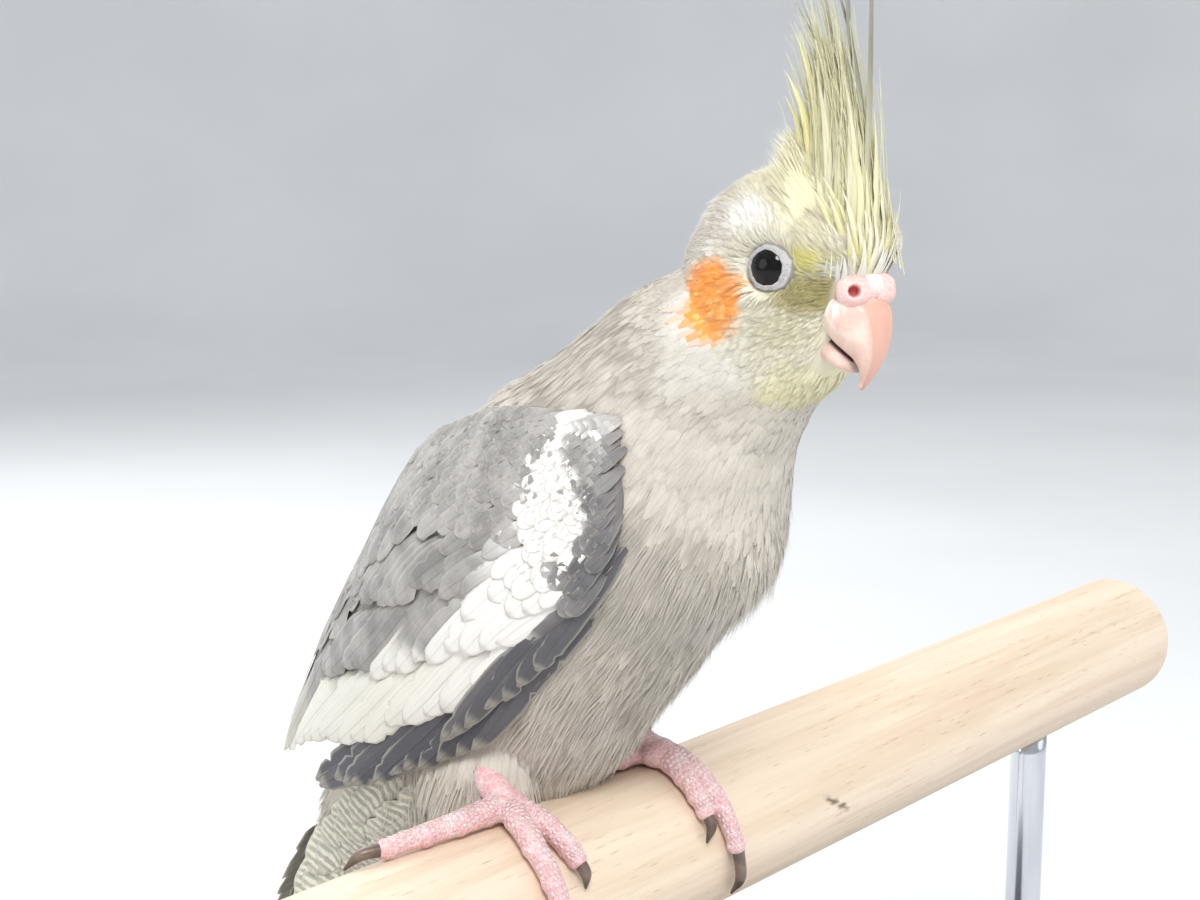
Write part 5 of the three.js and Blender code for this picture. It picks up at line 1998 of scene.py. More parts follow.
    def write(self, mesh: bpy.types.Mesh, points: Array, normals: Array, length: Array) -> None:
        """Writes lie, length, marks and regions on the skin's points.

        Args:
            mesh: The skin's mesh.
            points: Its points in the bird's frame.
            normals: The ways out of it.
            length: How long its feathers are.
        """
        forward, left, up = HEAD.into(points).T
        station, angle = BODY.places(points)
        along = BODY.line.along(station / BODY.last)
        lie = self.lie(points, normals)
        on_head = (1 - smooth(19, 24, distance(forward + 1, left, up))) * smooth(1.5, 0.8, station)
        head = on_head > 0.5
        near_eye = distance(forward - 7.6, np.abs(left) - 11, up - 2.9)
        rear = ((normals * along).sum(1) > 0.55) & (station > 7)
        free = head & (near_eye > self.bare_eye) & ~self.covered(forward, left, up)
        front_half = forward + 0.35 * (up + 4) > 2.0
        neck = ~head & (station < 2.3)
        leg = self.from_leg(points)
        under_wing = (station > 3.0) & (station < 6.7) & (angle > -18) & (angle < 52) & (leg > 17)
        torso = ~neck & ~head & ~under_wing & ~rear
        thigh = torso & (leg < 17)
        below = torso & (angle < -5) & ~thigh
        values = MARKS.body(points + (lie * 0.6 + normals * 0.1) * length[:, None]) | {
            "lie": lie, "coat_length": length * MM, "face": free & front_half, "crown": free & ~front_half,
            "neck": neck, "front": below & (station < 3.7),
            "belly": below & (station >= 3.7) & (station < 6.6),
            "thigh": thigh, "back": torso & (angle >= -5) & ~thigh, "hue": np.full(len(points), 0.35),
        }
        write_marks(mesh, values)

    def mark(self) -> None:
        """Gives the skin's own points their marks."""
        write_marks(self.thing.data, MARKS.body(read_points(self.thing.data)))

    @staticmethod
    def covered(forward: Array, left: Array, up: Array) -> Array:
        """Where bill and cere stand on the skin, so that nothing grows there.

        Args:
            forward: Places in the head's frame.
            left: The same.
            up: The same.

        Returns:
            True for each covered place.
        """
        side = np.abs(left)
        bill = (forward > 8.5) & (side < 4.5) & (up > -13.2) & (up < -2.5)
        cere = (forward > 11) & (side < 4.6) & (np.abs(up + 0.6) < 2.4)
        return bill | cere

    @staticmethod
    def unwrap(skin: Object) -> None:
        """Gives the skin a map of its own shape, named for the bake.

        Args:
            skin: The skin.
        """
        mesh = skin.data
        while mesh.uv_layers:
            mesh.uv_layers.remove(mesh.uv_layers[0])
        mesh.uv_layers.new(name=BAKE_MAP)
        bpy.ops.object.select_all(action="DESELECT")
        bpy.context.view_layer.objects.active = skin
        skin.select_set(True)
        bpy.ops.object.mode_set(mode="EDIT")
        bpy.ops.mesh.select_all(action="SELECT")
        bpy.ops.uv.smart_project(angle_limit=math.radians(66), island_margin=0.004)
        bpy.ops.object.mode_set(mode="OBJECT")
        skin.select_set(False)


@dataclass(frozen=True)
class Plume:
    """A small contour feather of unit length: a curved blade whose rim frays into barbs."""

    half: float = 0.14
    curl: float = 0.2
    camber: float = 0.5
    barbs: int = 15
    fray: float = 0.45
    droop: float = 0.06

    def shape(self, name: str, seed: int) -> Object:
        """Makes the feather.

        Args:
            name: The object's name.
            seed: Draws the lengths of its barbs.

        Returns:
            An object that isn't in the scene.
        """
        draw = np.random.default_rng(seed)
        rows = np.array([0, 0.22, 0.44, 0.6])
        wide = np.array([0.4, 0.75, 0.6, 0.15]) * self.half
        columns = np.array([-1, 0, 1])
        flat = np.stack([wide[:, None] * columns[None], np.repeat(rows[:, None], 3, 1)], -1).reshape(-1, 2)
        quads = grid_quads(4, 3)
        turn = np.linspace(-80, 80, self.barbs)
        a = np.radians(turn + draw.normal(0, 4, self.barbs))
        reach = np.clip(1 + draw.normal(0, self.fray, self.barbs), 0.3, 1.6)
        inner = lambda b: np.stack([np.sin(b) * self.half * 0.55, 0.3 + np.cos(b) * 0.2], 1)
        step = np.radians(160 / self.barbs) * 0.75
        tip = np.stack([
            np.sin(a) * self.half * (0.9 + 0.1 * reach),
            0.56 + np.cos(a) * 0.14 + (0.1 + 0.2 * np.cos(a)) * reach,
        ], 1)
        strands = np.stack([inner(a - step), tip, inner(a + step)], 1).reshape(-1, 2)
        start = len(flat)
        ids = start + np.arange(self.barbs)[:, None] * 3 + np.array([0, 1, 2, 2])[None]
        flat = np.concatenate([flat, strands])
        x, y = flat.T
        z = self.curl * (y - y**2) * 0.9 - self.camber * x**2 / self.half * 0.35 - self.droop * y**2
        z[start:] += np.tile([0, 1.0, 0], self.barbs) * np.repeat(draw.normal(0.01, 0.03, self.barbs), 3)
        points = np.stack([x, y, z], 1)
        faces = [list(q) for q in quads] + [[i, j, k] for i, k, j, _ in ids]
        mesh = bpy.data.meshes.new(name)
        mesh.from_pydata(points.tolist(), [], faces)
        normals = np.zeros(len(mesh.polygons) * 3)
        mesh.polygons.foreach_get("normal", normals)
        if normals.reshape(-1, 3)[: len(quads), 2].mean() < 0:
            mesh.flip_normals()
        layer = mesh.uv_layers.new(name=VANE_MAP)
        corners = np.zeros(len(mesh.loops), np.int32)
        mesh.loops.foreach_get("vertex_index", corners)
        place = np.stack([0.5 + x / self.half * 0.42, y], 1)
        layer.uv.foreach_set("vector", place[corners].astype(np.float32).ravel())
        mesh.polygons.foreach_set("use_smooth", np.ones(len(mesh.polygons), bool))
        return bpy.data.objects.new(name, mesh)


@dataclass(frozen=True)
class Region:
    """A part of the coat: where it grows, how close its feathers stand and how they are set."""

    name: str
    share: str
    spacing: float
    pitch: float = 11
    loose: float = 5
    size: float = 1
    plume: Plume = Plume()
    finish: Plumage = BODY_PLUMAGE
    seed: int = 1


class CoatTree(NodeTree):
    """Geometry nodes that set small feathers on the skin, along its lie."""

    INPUTS = (
        ("Feathers", "NodeSocketCollection", None), ("Region", "NodeSocketString", ""),
        ("Spacing", "NodeSocketFloat", 0.002), ("Pitch", "NodeSocketFloat", 0.2),
        ("Loose", "NodeSocketFloat", 0.1),
        ("Size", "NodeSocketFloat", 1.0), ("Patch", "NodeSocketFloat", 0.003), ("Seed", "NodeSocketInt", 1),
        ("Finish", "NodeSocketMaterial", None),
    )

    def wire(self) -> None:
        """Joins the nodes: points on the skin, a feather on each, its place on the baked map."""
        w, named = self.wiring, self.named
        given = w.add("NodeGroupInput").outputs
        dense = w.maths("DIVIDE", 2.0, w.times(given["Spacing"], given["Spacing"]))
        spots = w.add("GeometryNodeDistributePointsOnFaces", {
            "Mesh": given["Geometry"], "Distance Min": given["Spacing"], "Density Max": dense,
            "Density Factor": named(given["Region"]), "Seed": given["Seed"],
        }, distribute_method="POISSON")
        roots = named(BAKE_MAP, "FLOAT_VECTOR")
        kept = self.stored(spots.outputs["Points"], "root_place", roots, "FLOAT_VECTOR", "POINT")
        bare = w.add("GeometryNodeRemoveAttribute", {"Geometry": kept, "Name": BAKE_MAP})
        lying = self.aligned(spots.outputs["Normal"], named("lie", "FLOAT_VECTOR"))
        spread = lambda low, high, extra: w.add("FunctionNodeRandomValue", {
            2: low, 3: high, "Seed": w.plus(given["Seed"], extra),
        }, data_type="FLOAT").outputs[1]
        loose = lambda share, extra: w.times(w.times(given["Loose"], share), spread(-1.0, 1.0, extra))
        turn = w.add("ShaderNodeCombineXYZ", {
            0: w.plus(given["Pitch"], loose(0.5, 7)), 1: loose(1.0, 8), 2: loose(1.6, 9),
        })
        euler = w.add("FunctionNodeEulerToRotation", {0: turn.outputs[0]})
        values = {"Rotation": lying, "Rotate By": euler.outputs[0]}
        posed = w.add("FunctionNodeRotateRotation", values, rotation_space="LOCAL")
        sizes = w.times(w.times(named("coat_length"), given["Size"]), spread(0.82, 1.18, 10))
        pick = w.add("FunctionNodeRandomValue", {4: 0, 5: 99, "Seed": given["Seed"]}, data_type="INT")
        feathers = w.add("GeometryNodeInstanceOnPoints", {
            "Points": bare.outputs[0], "Instance": self.shapes(given["Feathers"]), "Pick Instance": True,
            "Instance Index": pick.outputs[2], "Rotation": posed.outputs[0], "Scale": sizes,
        })
        hue = self.stored(feathers.outputs[0], "hue", spread(0.0, 1.0, 11), "FLOAT", "INSTANCE")
        real = w.add("GeometryNodeRealizeInstances", {"Geometry": hue}).outputs[0]
        local = w.vector("SUBTRACT", {0: named(VANE_MAP, "FLOAT_VECTOR"), 1: (0.5, 0.5, 0.0)})
        self.finished(self.mapped(real, local, given["Patch"]), given["Finish"])


@dataclass
class Coat:
    """The small feathers over the skin, region by region."""

    skin: Skin
    regions: tuple = (
        Region("coat_face", "face", 0.32, 9, 5, 1.25, Plume(half=0.12, droop=0.14), HEAD_PLUMAGE, 21),
        Region("coat_crown", "crown", 0.38, 8, 5, 1.25, Plume(half=0.12, droop=0.18), HEAD_PLUMAGE, 22),
        Region("coat_neck", "neck", 0.44, 6.5, 5, 1.35, Plume(half=0.11, droop=0.07), BODY_PLUMAGE, 23),
        Region("coat_breast", "front", 0.55, 7.5, 6, 1.1, Plume(half=0.12), BODY_PLUMAGE, 24),
        Region("coat_belly", "belly", 0.6, 8, 7, 1.1, Plume(half=0.12, fray=0.5), BODY_PLUMAGE, 25),
        Region("coat_thigh", "thigh", 0.48, 8, 9, 1.05, Plume(fray=0.5, half=0.12), BODY_PLUMAGE, 27),
        Region("coat_back", "back", 0.7, 7, 4, 1.05, Plume(half=0.16), BODY_PLUMAGE, 26),
    )
    variants: int = 5

    def build(self) -> list[Object]:
        """Makes every region's coat as one mesh each.

        Returns:
            The pieces of coat.
        """
        tree = CoatTree()
        made = []
        for region in self.regions:
            shapes = bpy.data.collections.new(region.name + "_shapes")
            for k in range(self.variants):
                shapes.objects.link(region.plume.shape(f"{region.name}_{k}", region.seed * 10 + k))
            mesh = tree.run(self.skin.thing, {
                "Feathers": shapes, "Region": region.share, "Spacing": region.spacing * MM,
                "Pitch": math.radians(region.pitch), "Loose": math.radians(region.loose), "Size": region.size,
                "Seed": region.seed, "Finish": region.finish.material(),
            })
            drop(mesh, "root_place", *COAT_DATA)
            for shape in list(shapes.objects):
                bpy.data.objects.remove(shape)
            bpy.data.collections.remove(shapes)
            coat = linked(region.name, mesh, region.finish.material())
            mesh.polygons.foreach_set("material_index", np.zeros(len(mesh.polygons), np.int32))
            made.append(coat)
            log.info("%s: %d triangles", region.name, sum(len(p.vertices) - 2 for p in mesh.polygons))
        return made


# Head pieces


@dataclass
class Bill:
    """Both halves of the bill, the cere with its nostrils, and the eyes in their bare rings."""

    upper: tuple = (
        ((12.6, 0), (8, -4.4), 4.5), ((16, -0.8), (10.2, -6.4), 5.1), ((18.1, -2.8), (12.2, -8.3), 4.6),
        ((18.7, -5.4), (13.8, -9.5), 3.7), ((18.4, -8.2), (14.7, -10.2), 2.9),
        ((17.4, -10.8), (15.2, -11.5), 1.9),
        ((15.9, -12.9), (14.8, -13.0), 1.1), ((14.4, -14.5), (14, -14.2), 0.4),
    )
    lower: tuple = (
        ((8, -3.8), (8, -10.2), 4.3), ((10.6, -5.6), (10.4, -11.2), 4.0), ((12.9, -7.8), (12.7, -12.2), 3.2),
        ((14.5, -9.8), (14.1, -12.0), 2.0),
    )
    cere: tuple = (14.3, 0.1, 4.3, 3.7, 2.5)
    bulb: tuple = (15.5, 2.45, -0.5, 2.5)
    nostril: tuple = (17.15, 3.85, -0.45)
    globe: float = 3.6

    def half(self, line: tuple, steps: int, sides: int = 48) -> tuple[Array, Array, Array, Array]:
        """One half of the bill as places, faces, its tone with the gape's painted shade, and how flaky it is.

        Args:
            line: The stations of this half.
            steps: Rings along it.
            sides: Points in a ring.

        Returns:
            Places, faces, how deep the tone is, with the painted shade of the gape, and how flaky it is.
        """
        t = np.linspace(0, 1, steps)
        top = Curve([(a[0], 0, a[1]) for a, _, _ in line]).at(t)
        bottom = Curve([(b[0], 0, b[1]) for _, b, _ in line]).at(t)
        width = Curve([(w, 0, 0) for _, _, w in line]).at(t)[:, 0]
        a = circle(sides)
        middle, outward = (top + bottom) / 2, unit(top - bottom)
        deep = np.linalg.norm(top - bottom, axis=1) / 2
        low_power, high_power = (0.6, 1.0) if line is self.upper else (0.9, 0.45)
        power = np.where(np.cos(a) < 0, low_power, high_power)
        x = np.sign(np.sin(a)) * np.abs(np.sin(a)) ** power
        turn = np.abs(a - np.pi * 2 * (a > np.pi))
        ridge = 0.25 * np.exp(-((turn - 0.62) / 0.12) ** 2) - 0.2 * np.exp(-((turn - 0.95) / 0.2) ** 2)
        height = deep[:, None] * np.cos(a)[None] + ridge[None] * smooth(0.1, 0.3, t)[:, None]
        rings = middle[:, None] + outward[:, None] * height[..., None]
        rings[:, :, 1] += width[:, None] * x[None]
        points, faces = loft(rings)
        front = 0.8 * smooth(0.72, 0.58, turn)
        # painted shade: near black on the upper half's underside and the lower half's top, where the halves
        # meet at the gape
        gape_shade = 2 * (smooth(2.36, 2.48, turn) if line is self.upper else smooth(1.0, 0.86, turn))
        tone = np.concatenate([np.tile(np.maximum(front, gape_shade), steps), [0, 0]])
        flaky = np.concatenate([np.repeat(smooth(0.26, 0.14, t), sides), [0, 0]])
        return points, faces, tone, flaky

    def horn(self, name: str, line: tuple, steps: int, node: str) -> Object:
        """One half of the bill as an object.

        Args:
            name: The piece's name.
            line: The stations of this half.
            steps: Rings along it.
            node: The source's node.

        Returns:
            The piece.
        """
        places, faces, tone, flaky = self.half(line, steps)
        pile = Pile()
        pile.add(
            HEAD.out(places), self.turned_out(HEAD.out(places), faces), None, None, deep=tone, pale=flaky
        )
        thing = linked(name, pile.mesh(name), BILL.material())
        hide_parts(node)
        return thing

    @staticmethod
    def turned_out(points: Array, faces: Array) -> Array:
        """The faces of a closed shape, looking outwards.

        Args:
            points: The points.
            faces: The faces.

        Returns:
            The faces, with their fronts outwards.
        """
        middle = points.mean(0)
        a, b, c = (points[faces[:, k]] - middle for k in range(3))
        if (np.cross(b - a, c - a) * a).sum() > 0:
            return faces
        return np.where((faces[:, 2] == faces[:, 3])[:, None], faces[:, [0, 2, 1, 1]], faces[:, ::-1])

    def make_cere(self) -> Object:
        """The cere: a swollen band with a bulb and a nostril on each side.

        Returns:
            The cere.
        """
        pile = Pile()
        forward, up, wide, deep, high = self.cere
        shapes = [((forward, 0, up), (deep, wide, high))]
        for side in Side:
            shapes.append(((self.bulb[0], side.value * self.bulb[1], self.bulb[2]), (self.bulb[3],) * 3))
        for centre, radii in shapes:
            points, faces = ball(centre, radii)
            pile.add(HEAD.out(points), self.turned_out(HEAD.out(points), faces))
        mesh = fused(pile, 0.16, 12)
        points = read_points(mesh)
        forward, left, up = HEAD.into(points).T
        x, y, z = self.nostril
        off = distance(forward - x, np.abs(left) - y, up - z)
        inward = HEAD.ways(unit(np.stack([-0.8 + 0 * left, -np.sign(left) * 0.6, -0.05 + 0 * left], 1)))
        sunk = 1.5 * smooth(1.05, 0.5, off) - 0.14 * smooth(1.9, 1.3, off) * smooth(0.8, 1.1, off)
        move_points(mesh, points + inward * sunk[:, None])
        # deep paints shade into each nostril's hollow
        write_marks(mesh, {"deep": smooth(0.95, 0.6, off), "pale": 0.8 * smooth(2.2, 0.8, np.abs(left))})
        cere = linked("cere_skin_piece", mesh, CERE.material())
        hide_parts("cere")
        return cere

    def make_eye(self, side: Side) -> list[Object]:
        """An eye and the bare ring round it.

        Args:
            side: The side it is on.

        Returns:
            The eye and its lid.
        """
        forward, out, up = HEAD.eye
        centre = np.array([forward, side.value * out, up])
        way = unit(np.array([math.sin(math.radians(17)), side.value * math.cos(math.radians(17)), 0]))
        across = unit(np.cross(way, [0, 0, 1.0]))
        high = np.cross(across, way)
        a = circle(48)
        lay = lambda r, h: centre + way * h + r * (np.cos(a)[:, None] * across + np.sin(a)[:, None] * high)
        polar = np.linspace(0.03, np.pi - 0.03, 32)
        rings = np.array([lay(3.6 * math.sin(p), 3.6 * math.cos(p)) for p in polar])
        points, faces = loft(rings)
        world = HEAD.out(points)
        flat = np.concatenate([np.repeat(polar / np.pi * 2, 48), [0, 2]])
        vane = np.stack([np.concatenate([np.tile(a / (2 * np.pi), 32), [0, 0]]), flat], 1)
        pile = Pile()
        pile.add(world, self.turned_out(world, faces), vane)
        eye = linked(f"eye_{side.word}_ball", pile.mesh("eye"), EYE.material())
        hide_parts(f"eye_{side.word}")
        profile = (
            (2.4, 2.2), (2.43, 2.62), (2.52, 2.78), (2.66, 2.8), (2.84, 2.62), (3.04, 2.48),
            (3.18, 2.3), (3.32, 1.9), (3.4, 1.1), (3.0, 0.6), (2.5, 1.4),
        )
        wave = 1 + 0.02 * np.sin(5 * a) + 0.018 * np.sin(13 * a + 1)
        ahead = 0.2 * np.maximum(0, side.value * np.cos(a)) ** 2
        rings = []
        for r, h in Curve(profile + profile[:1]).at(np.linspace(0, 1, 45))[:-1]:
            fold = 0.05 * float(smooth(2.5, 2.8, r)) * (
                np.sin(29 * a + 9 * r) + np.sin(17 * a - 12 * r)
            ) + 0.05 * np.sin(7 * a + 3 * r)
            ring = lay((r * (wave + ahead * float(smooth(2.6, 3.2, r))))[:, None], h)
            rings.append(ring + way * fold[:, None])
        rings = np.array(rings)
        points = rings.reshape(-1, 3)
        quads = grid_quads(45, 48, True) % len(points)
        world = HEAD.out(points)
        radial = np.repeat(np.linspace(0, 1, 45)[:-1], 48)
        lids = Pile()
        pale = 0.5 * smooth(0.3, 0.5, radial)
        # deep paints shade at the lid's inner edge against the eye and on its outer side under the feathers
        deep = smooth(0.10, 0.02, radial) * 0.9 + 0.5 * smooth(0.46, 0.56, radial) * smooth(0.8, 0.7, radial)
        middle = world.reshape(44, 48, 3).mean(0)
        near = np.tile(middle, (44, 1))
        a0, b0, c0 = (world[quads[:, k]] for k in range(3))
        facing = (np.cross(b0 - a0, c0 - a0) * (a0 - near[quads[:, 0]])).sum()
        lids.add(world, quads if facing > 0 else quads[:, ::-1], None, None, pale=pale, deep=deep)
        ring = linked(f"lid_{side.word}", lids.mesh("lid"), LID.material())
        return [eye, ring]

    def build(self) -> list[Object]:
        """Makes the bill, cere, eyes and lids.

        Returns:
            All pieces of bill, cere and eyes.
        """
        made = [
            self.horn("bill_upper_horn", self.upper, 48, "bill_upper"),
            self.horn("bill_lower_horn", self.lower, 30, "bill_lower"),
            self.make_cere(),
        ]
        for side in Side:
            made += self.make_eye(side)
        return made


# Feet


def on_perch(x: float, angle: float, height: float) -> Array:
    """A point at a place on the perch: 0 is its front, 90 its top and 180 its back."""
    r = PERCH_RADIUS + GAP + height
    return np.array([x, -r * math.cos(math.radians(angle)), r * math.sin(math.radians(angle))])


@dataclass(frozen=True)
class Toe:
    """A toe's path over the perch and its claw's, as x and the angle round the perch."""

    name: str
    path: tuple
    claw: tuple


@dataclass
class Foot:
    """A foot with two toes forwards and two backwards, each with its claw."""

    side: Side
    ankle: tuple
    toes: tuple
    root: float = 2.1
    tip: float = 1.42
    nail: float = 1.1
    plate: float = 0.78

    @property
    def palm(self) -> Array:
        """The middle of the palm."""
        return on_perch(*self.ankle, self.root + 0.1)

    def toe_line(self, toe: Toe) -> tuple[list[Array], list[float]]:
        """A toe's middle line from the palm to its end, and its radius at each point."""
        radii = np.interp(np.linspace(0, 1, len(toe.path)), [0, 1], [self.root, self.tip])
        points = [on_perch(x, a, r) for (x, a), r in zip(toe.path, radii)]
        return [self.palm, *points], [self.root, *radii]

    def flesh(self) -> Object:
        """Makes the toes, palm and tarsus as one skin.

        Returns:
            The foot.
        """
        pile = Pile()
        sign = self.side.value
        shin = np.array([self.ankle[0] - sign * 1.4, 6, 20.5])
        knee = np.array([sign * 14, 12, 28])
        pile.add(*tube([self.palm, shin, knee], [2.5, 2.4, 2.6], 24, 20)[:2])
        pile.add(*ball(self.palm, (3.5, 3.8, 2.6)))
        for toe in self.toes:
            points, radii = self.toe_line(toe)
            pile.add(*tube(points, radii, 24, 40)[:2])
            for k, at in enumerate(Curve(points).at(np.linspace(0.3, 0.98, 4))):
                pile.add(*ball(at + unit(np.array([0, -at[1], -at[2]])) * 0.1, (2.16 - 0.16 * k,) * 3))
        mesh = fused(pile, 0.3, 4)
        points = read_points(mesh)
        r = np.hypot(points[:, 1], points[:, 2])
        low = PERCH_RADIUS + 0.3
        points[:, 1:] *= np.where(r < low, low / np.maximum(r, 1e-6), 1)[:, None]
        move_points(mesh, points)
        foot = linked(f"foot_{self.side.word}_skin", mesh, TOE.material())
        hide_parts(f"foot_{self.side.word}")
        return foot

    def scutes(self) -> Object:
        """Rows of small plates over the toes.

        Returns:
            The plates.
        """
        draw = np.random.default_rng(8 + self.side.value)
        spots, marks = [], {"out": [], "along": [], "size": [], "pale": []}
        for toe in self.toes:
            points, radii = self.toe_line(toe)
            path, sizes = Curve(points), Curve([[r] for r in radii])
            length = np.linalg.norm(np.diff(path.at(np.linspace(0, 1, 60)), axis=0), axis=1).sum()
            for i, t in enumerate(np.linspace(0.08, 0.98, int(length / self.plate))):
                middle, along = path.at([t])[0], path.along([t])[0]
                up = unit(np.array([0, middle[1], middle[2]]))
                up = unit(up - along * (up @ along))
                across = np.cross(along, up)
                radius = sizes.at([t])[0, 0]
                for turn in np.arange(-81, 82, 27) + (i % 2) * 13 - 6:
                    a = math.radians(turn + draw.normal(0, 3))
                    out = up * math.cos(a) + across * math.sin(a)
                    wide = 0.42 if abs(turn) > 35 else 0.56
                    spots.append(middle + out * (radius + 0.02))
                    marks["out"].append(out)
                    marks["along"].append(along)
                    across_size = wide * draw.uniform(0.9, 1.1) * radius / 2
                    marks["size"].append(np.array([across_size, 0.4 * draw.uniform(0.85, 1.15), 1]) * MM)
                    marks["pale"].append(draw.uniform(0.1, 0.75))
        pile = Pile()
        pile.add(*ball((0, 0, 0), (1 / MM,) * 3, None, 8))
        pile.points[0] = pile.points[0] - BIRD
        shape = linked("plate", pile.mesh("plate"))
        plates = bpy.data.collections.new("plates")
        plates.objects.link(shape)
        source = carrier(
            np.array(spots), np.zeros((0, 2), int), {name: np.array(values) for name, values in marks.items()}
        )
        mesh = PlateTree().run(source, {"Plates": plates, "Thickness": 0.12, "Finish": TOE.material()})
        for thing in (shape, source):
            bpy.data.objects.remove(thing)
        bpy.data.collections.remove(plates)
        return linked(f"foot_{self.side.word}_scutes", mesh, TOE.material())

    def claws(self) -> list[Object]:
        """Each claw, curved down over the perch.

        Returns:
            The claws.
        """
        made = []
        for toe in self.toes:
            root = on_perch(*toe.path[-1], self.tip)
            path = [root] + [on_perch(x, a, h) for (x, a), h in zip(toe.claw, (1.5, 0.25))]
            points, faces, around = tube(path, [self.nail, self.nail * 0.85, 0.2], 20, 20)
            pile = Pile()
            pile.add(points, faces, around, None, deep=smooth(0.5, 1, around[:, 1]) * 0.7)
            node = f"claw_{self.side.word}_{toe.name}"
            claw = linked(f"{node}_horn", pile.mesh(node), CLAW.material())
            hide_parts(node)
            made.append(claw)
        return made

    def build(self) -> list[Object]:
        """Makes the foot with its plates and claws."""
        return [self.flesh(), self.scutes(), *self.claws()]


RIGHT_FOOT = Foot(Side.RIGHT, (-20, 90), (
    Toe("inner_front", ((-19.6, 84), (-18.7, 66), (-17.8, 48), (-17.3, 40)), ((-17.1, 31), (-16.9, 23))),
    Toe("outer_front", ((-21.5, 80), (-23.8, 58), (-24.3, 34), (-23.6, 6)), ((-23, -14), (-21.6, -34))),
    Toe("outer_back", ((-23, 92), (-29, 94), (-36, 98), (-43, 104)), ((-46, 110), (-48, 118))),
    Toe("inner_back", ((-18, 97), (-15.4, 110), (-13.2, 124), (-12.4, 131)), ((-11.8, 141), (-11.6, 150))),
))
LEFT_FOOT = Foot(Side.LEFT, (16, 85), (
    Toe("inner_front", ((15.6, 76), (14.9, 62), (14.4, 46), (14.5, 35)), ((14.2, 26), (13.4, 17))),
    Toe("outer_front", ((17.2, 76), (17.7, 58), (18.2, 34), (19.8, 7)), ((21, -13), (22.6, -32))),
    Toe("inner_back", ((14.6, 95), (11, 98), (7.4, 100), (5.8, 100)), ((3.4, 99), (1.2, 97))),
    Toe("outer_back", ((18.4, 100), (21, 116), (23.4, 132), (24.6, 141)), ((25.6, 151), (26.2, 160))),
))


# Perch and stand


@dataclass
class Perch:
    """A cut length of dowel with softly rounded sawn ends."""

    radius: float = PERCH_RADIUS
    length: float = 300
    edge: float = 1.5
    sides: int = 160

    def build(self) -> Object:
        """Makes the dowel with its one small crack in front, beside the bird.

        Returns:
            The dowel.
        """
        half, e = self.length / 2, self.edge
        bend = np.linspace(0, np.pi / 2, 7)
        end = [(self.radius - e + e * math.sin(b), half - e + e * math.cos(b)) for b in bend]
        inner = [(r, half) for r in np.linspace(0.4, self.radius - e, 9)[:-1]]
        right = inner + end
        body = [(self.radius, x) for x in np.linspace(half - e, -half + e, 240)[1:-1]]
        outline = np.array(right + body + [(r, -x) for r, x in right[::-1]])
        a = circle(self.sides)
        rings = np.stack([
            np.repeat(outline[:, 1:2], self.sides, 1), outline[:, :1] * np.cos(a)[None],
            outline[:, :1] * np.sin(a)[None],
        ], -1)
        points, faces = loft(rings)
        points = points - np.array([BIRD[0], 0, 0])
        x = points[:, 0] + BIRD[0]
        turn = np.degrees(np.arctan2(points[:, 2], -points[:, 1]))
        along = (x - 5.8) / 3.8
        off = np.abs((turn - 1 + 8.5 * along) * 0.244 + 0.3 * np.sin(3 * x))
        crack = 0.9 * smooth(1.1, 0.8, np.abs(along)) * smooth(0.7, 0.2, off)
        pile = Pile()
        pile.add(points, faces, None, None, deep=crack)
        perch = linked("perch_dowel", pile.mesh("perch"), WOOD.material())
        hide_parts("perch")
        return perch


@dataclass
class Stand:
    """A flat painted base with two short chromed rods."""

    width: float = 260
    depth: float = 130
    height: float = 12
    corner: float = 14
    edge: float = 1.5
    shift: float = 12
    rod: float = 4
    spacing: float = 214

    def outline(self, inset: float) -> Array:
        """The base's rounded outline, moved inwards.

        Args:
            inset: How far inside the rim.

        Returns:
            Points round the base, in order.
        """
        w, d = self.width / 2 - inset, self.depth / 2 - inset
        r = self.corner - inset
        corners = ((w - r, -d + r, -90), (w - r, d - r, 0), (-w + r, d - r, 90), (-w + r, -d + r, 180))
        points = []
        for cx, cy, start in corners:
            for a in np.radians(np.linspace(start, start + 90, 13)):
                points.append((cx + r * math.cos(a), cy + r * math.sin(a) + self.shift))
        return np.array(points)

    def base(self) -> Object:
        """The base with softly rounded edges.

        Returns:
            The base.
        """
        bend = np.linspace(0, np.pi / 2, 6)
        e = self.edge
        steps = [(e - e * math.sin(b), e - e * math.cos(b)) for b in bend]
        steps += [(e - e * math.cos(b), self.height - e + e * math.sin(b)) for b in bend]
        rings = []
        for inset, z in [(30, 0)] + steps + [(30, self.height)]:
            if inset < self.corner:
                flat = self.outline(inset)
            else:
                flat = self.outline(self.corner - 1) * 0.8 + np.array([0, self.shift * 0.2])
            rings.append(np.column_stack([flat, np.full(len(flat), z)]))
        points, faces = loft(np.array(rings))
        pile = Pile()
        pile.add(points - BIRD, faces)
        base = linked("stand_base_slab", pile.mesh("base"), PAINT.material())
        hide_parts("stand_base")
        return base

    def post(self, side: Side) -> Object:
        """A rod from the base up to the dowel.

        Args:
            side: The side it is on.

        Returns:
            The rod.
        """
        x = side.value * self.spacing / 2
        a = circle(64)
        gap = 0.3  # to the base and to the dowel
        dx, dy = self.rod * np.cos(a), self.rod * np.sin(a)
        top = BIRD[2] - np.sqrt((PERCH_RADIUS + gap) ** 2 - dy**2)
        low = self.height + gap
        rings = []
        for share in np.linspace(0, 1, 24):
            rings.append(np.column_stack([x + dx, dy, low + (top - low) * share]))
        points, faces = loft(np.array(rings))
        pile = Pile()
        pile.add(points - BIRD, faces)
        node = f"stand_rod_{side.word}"
        rod = linked(f"{node}_chrome", pile.mesh(node), STEEL.material())
        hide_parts(node)
        return rod

    def build(self) -> list[Object]:
        """Makes the base and both rods."""
        return [self.base(), self.post(Side.RIGHT), self.post(Side.LEFT)]


# Studio


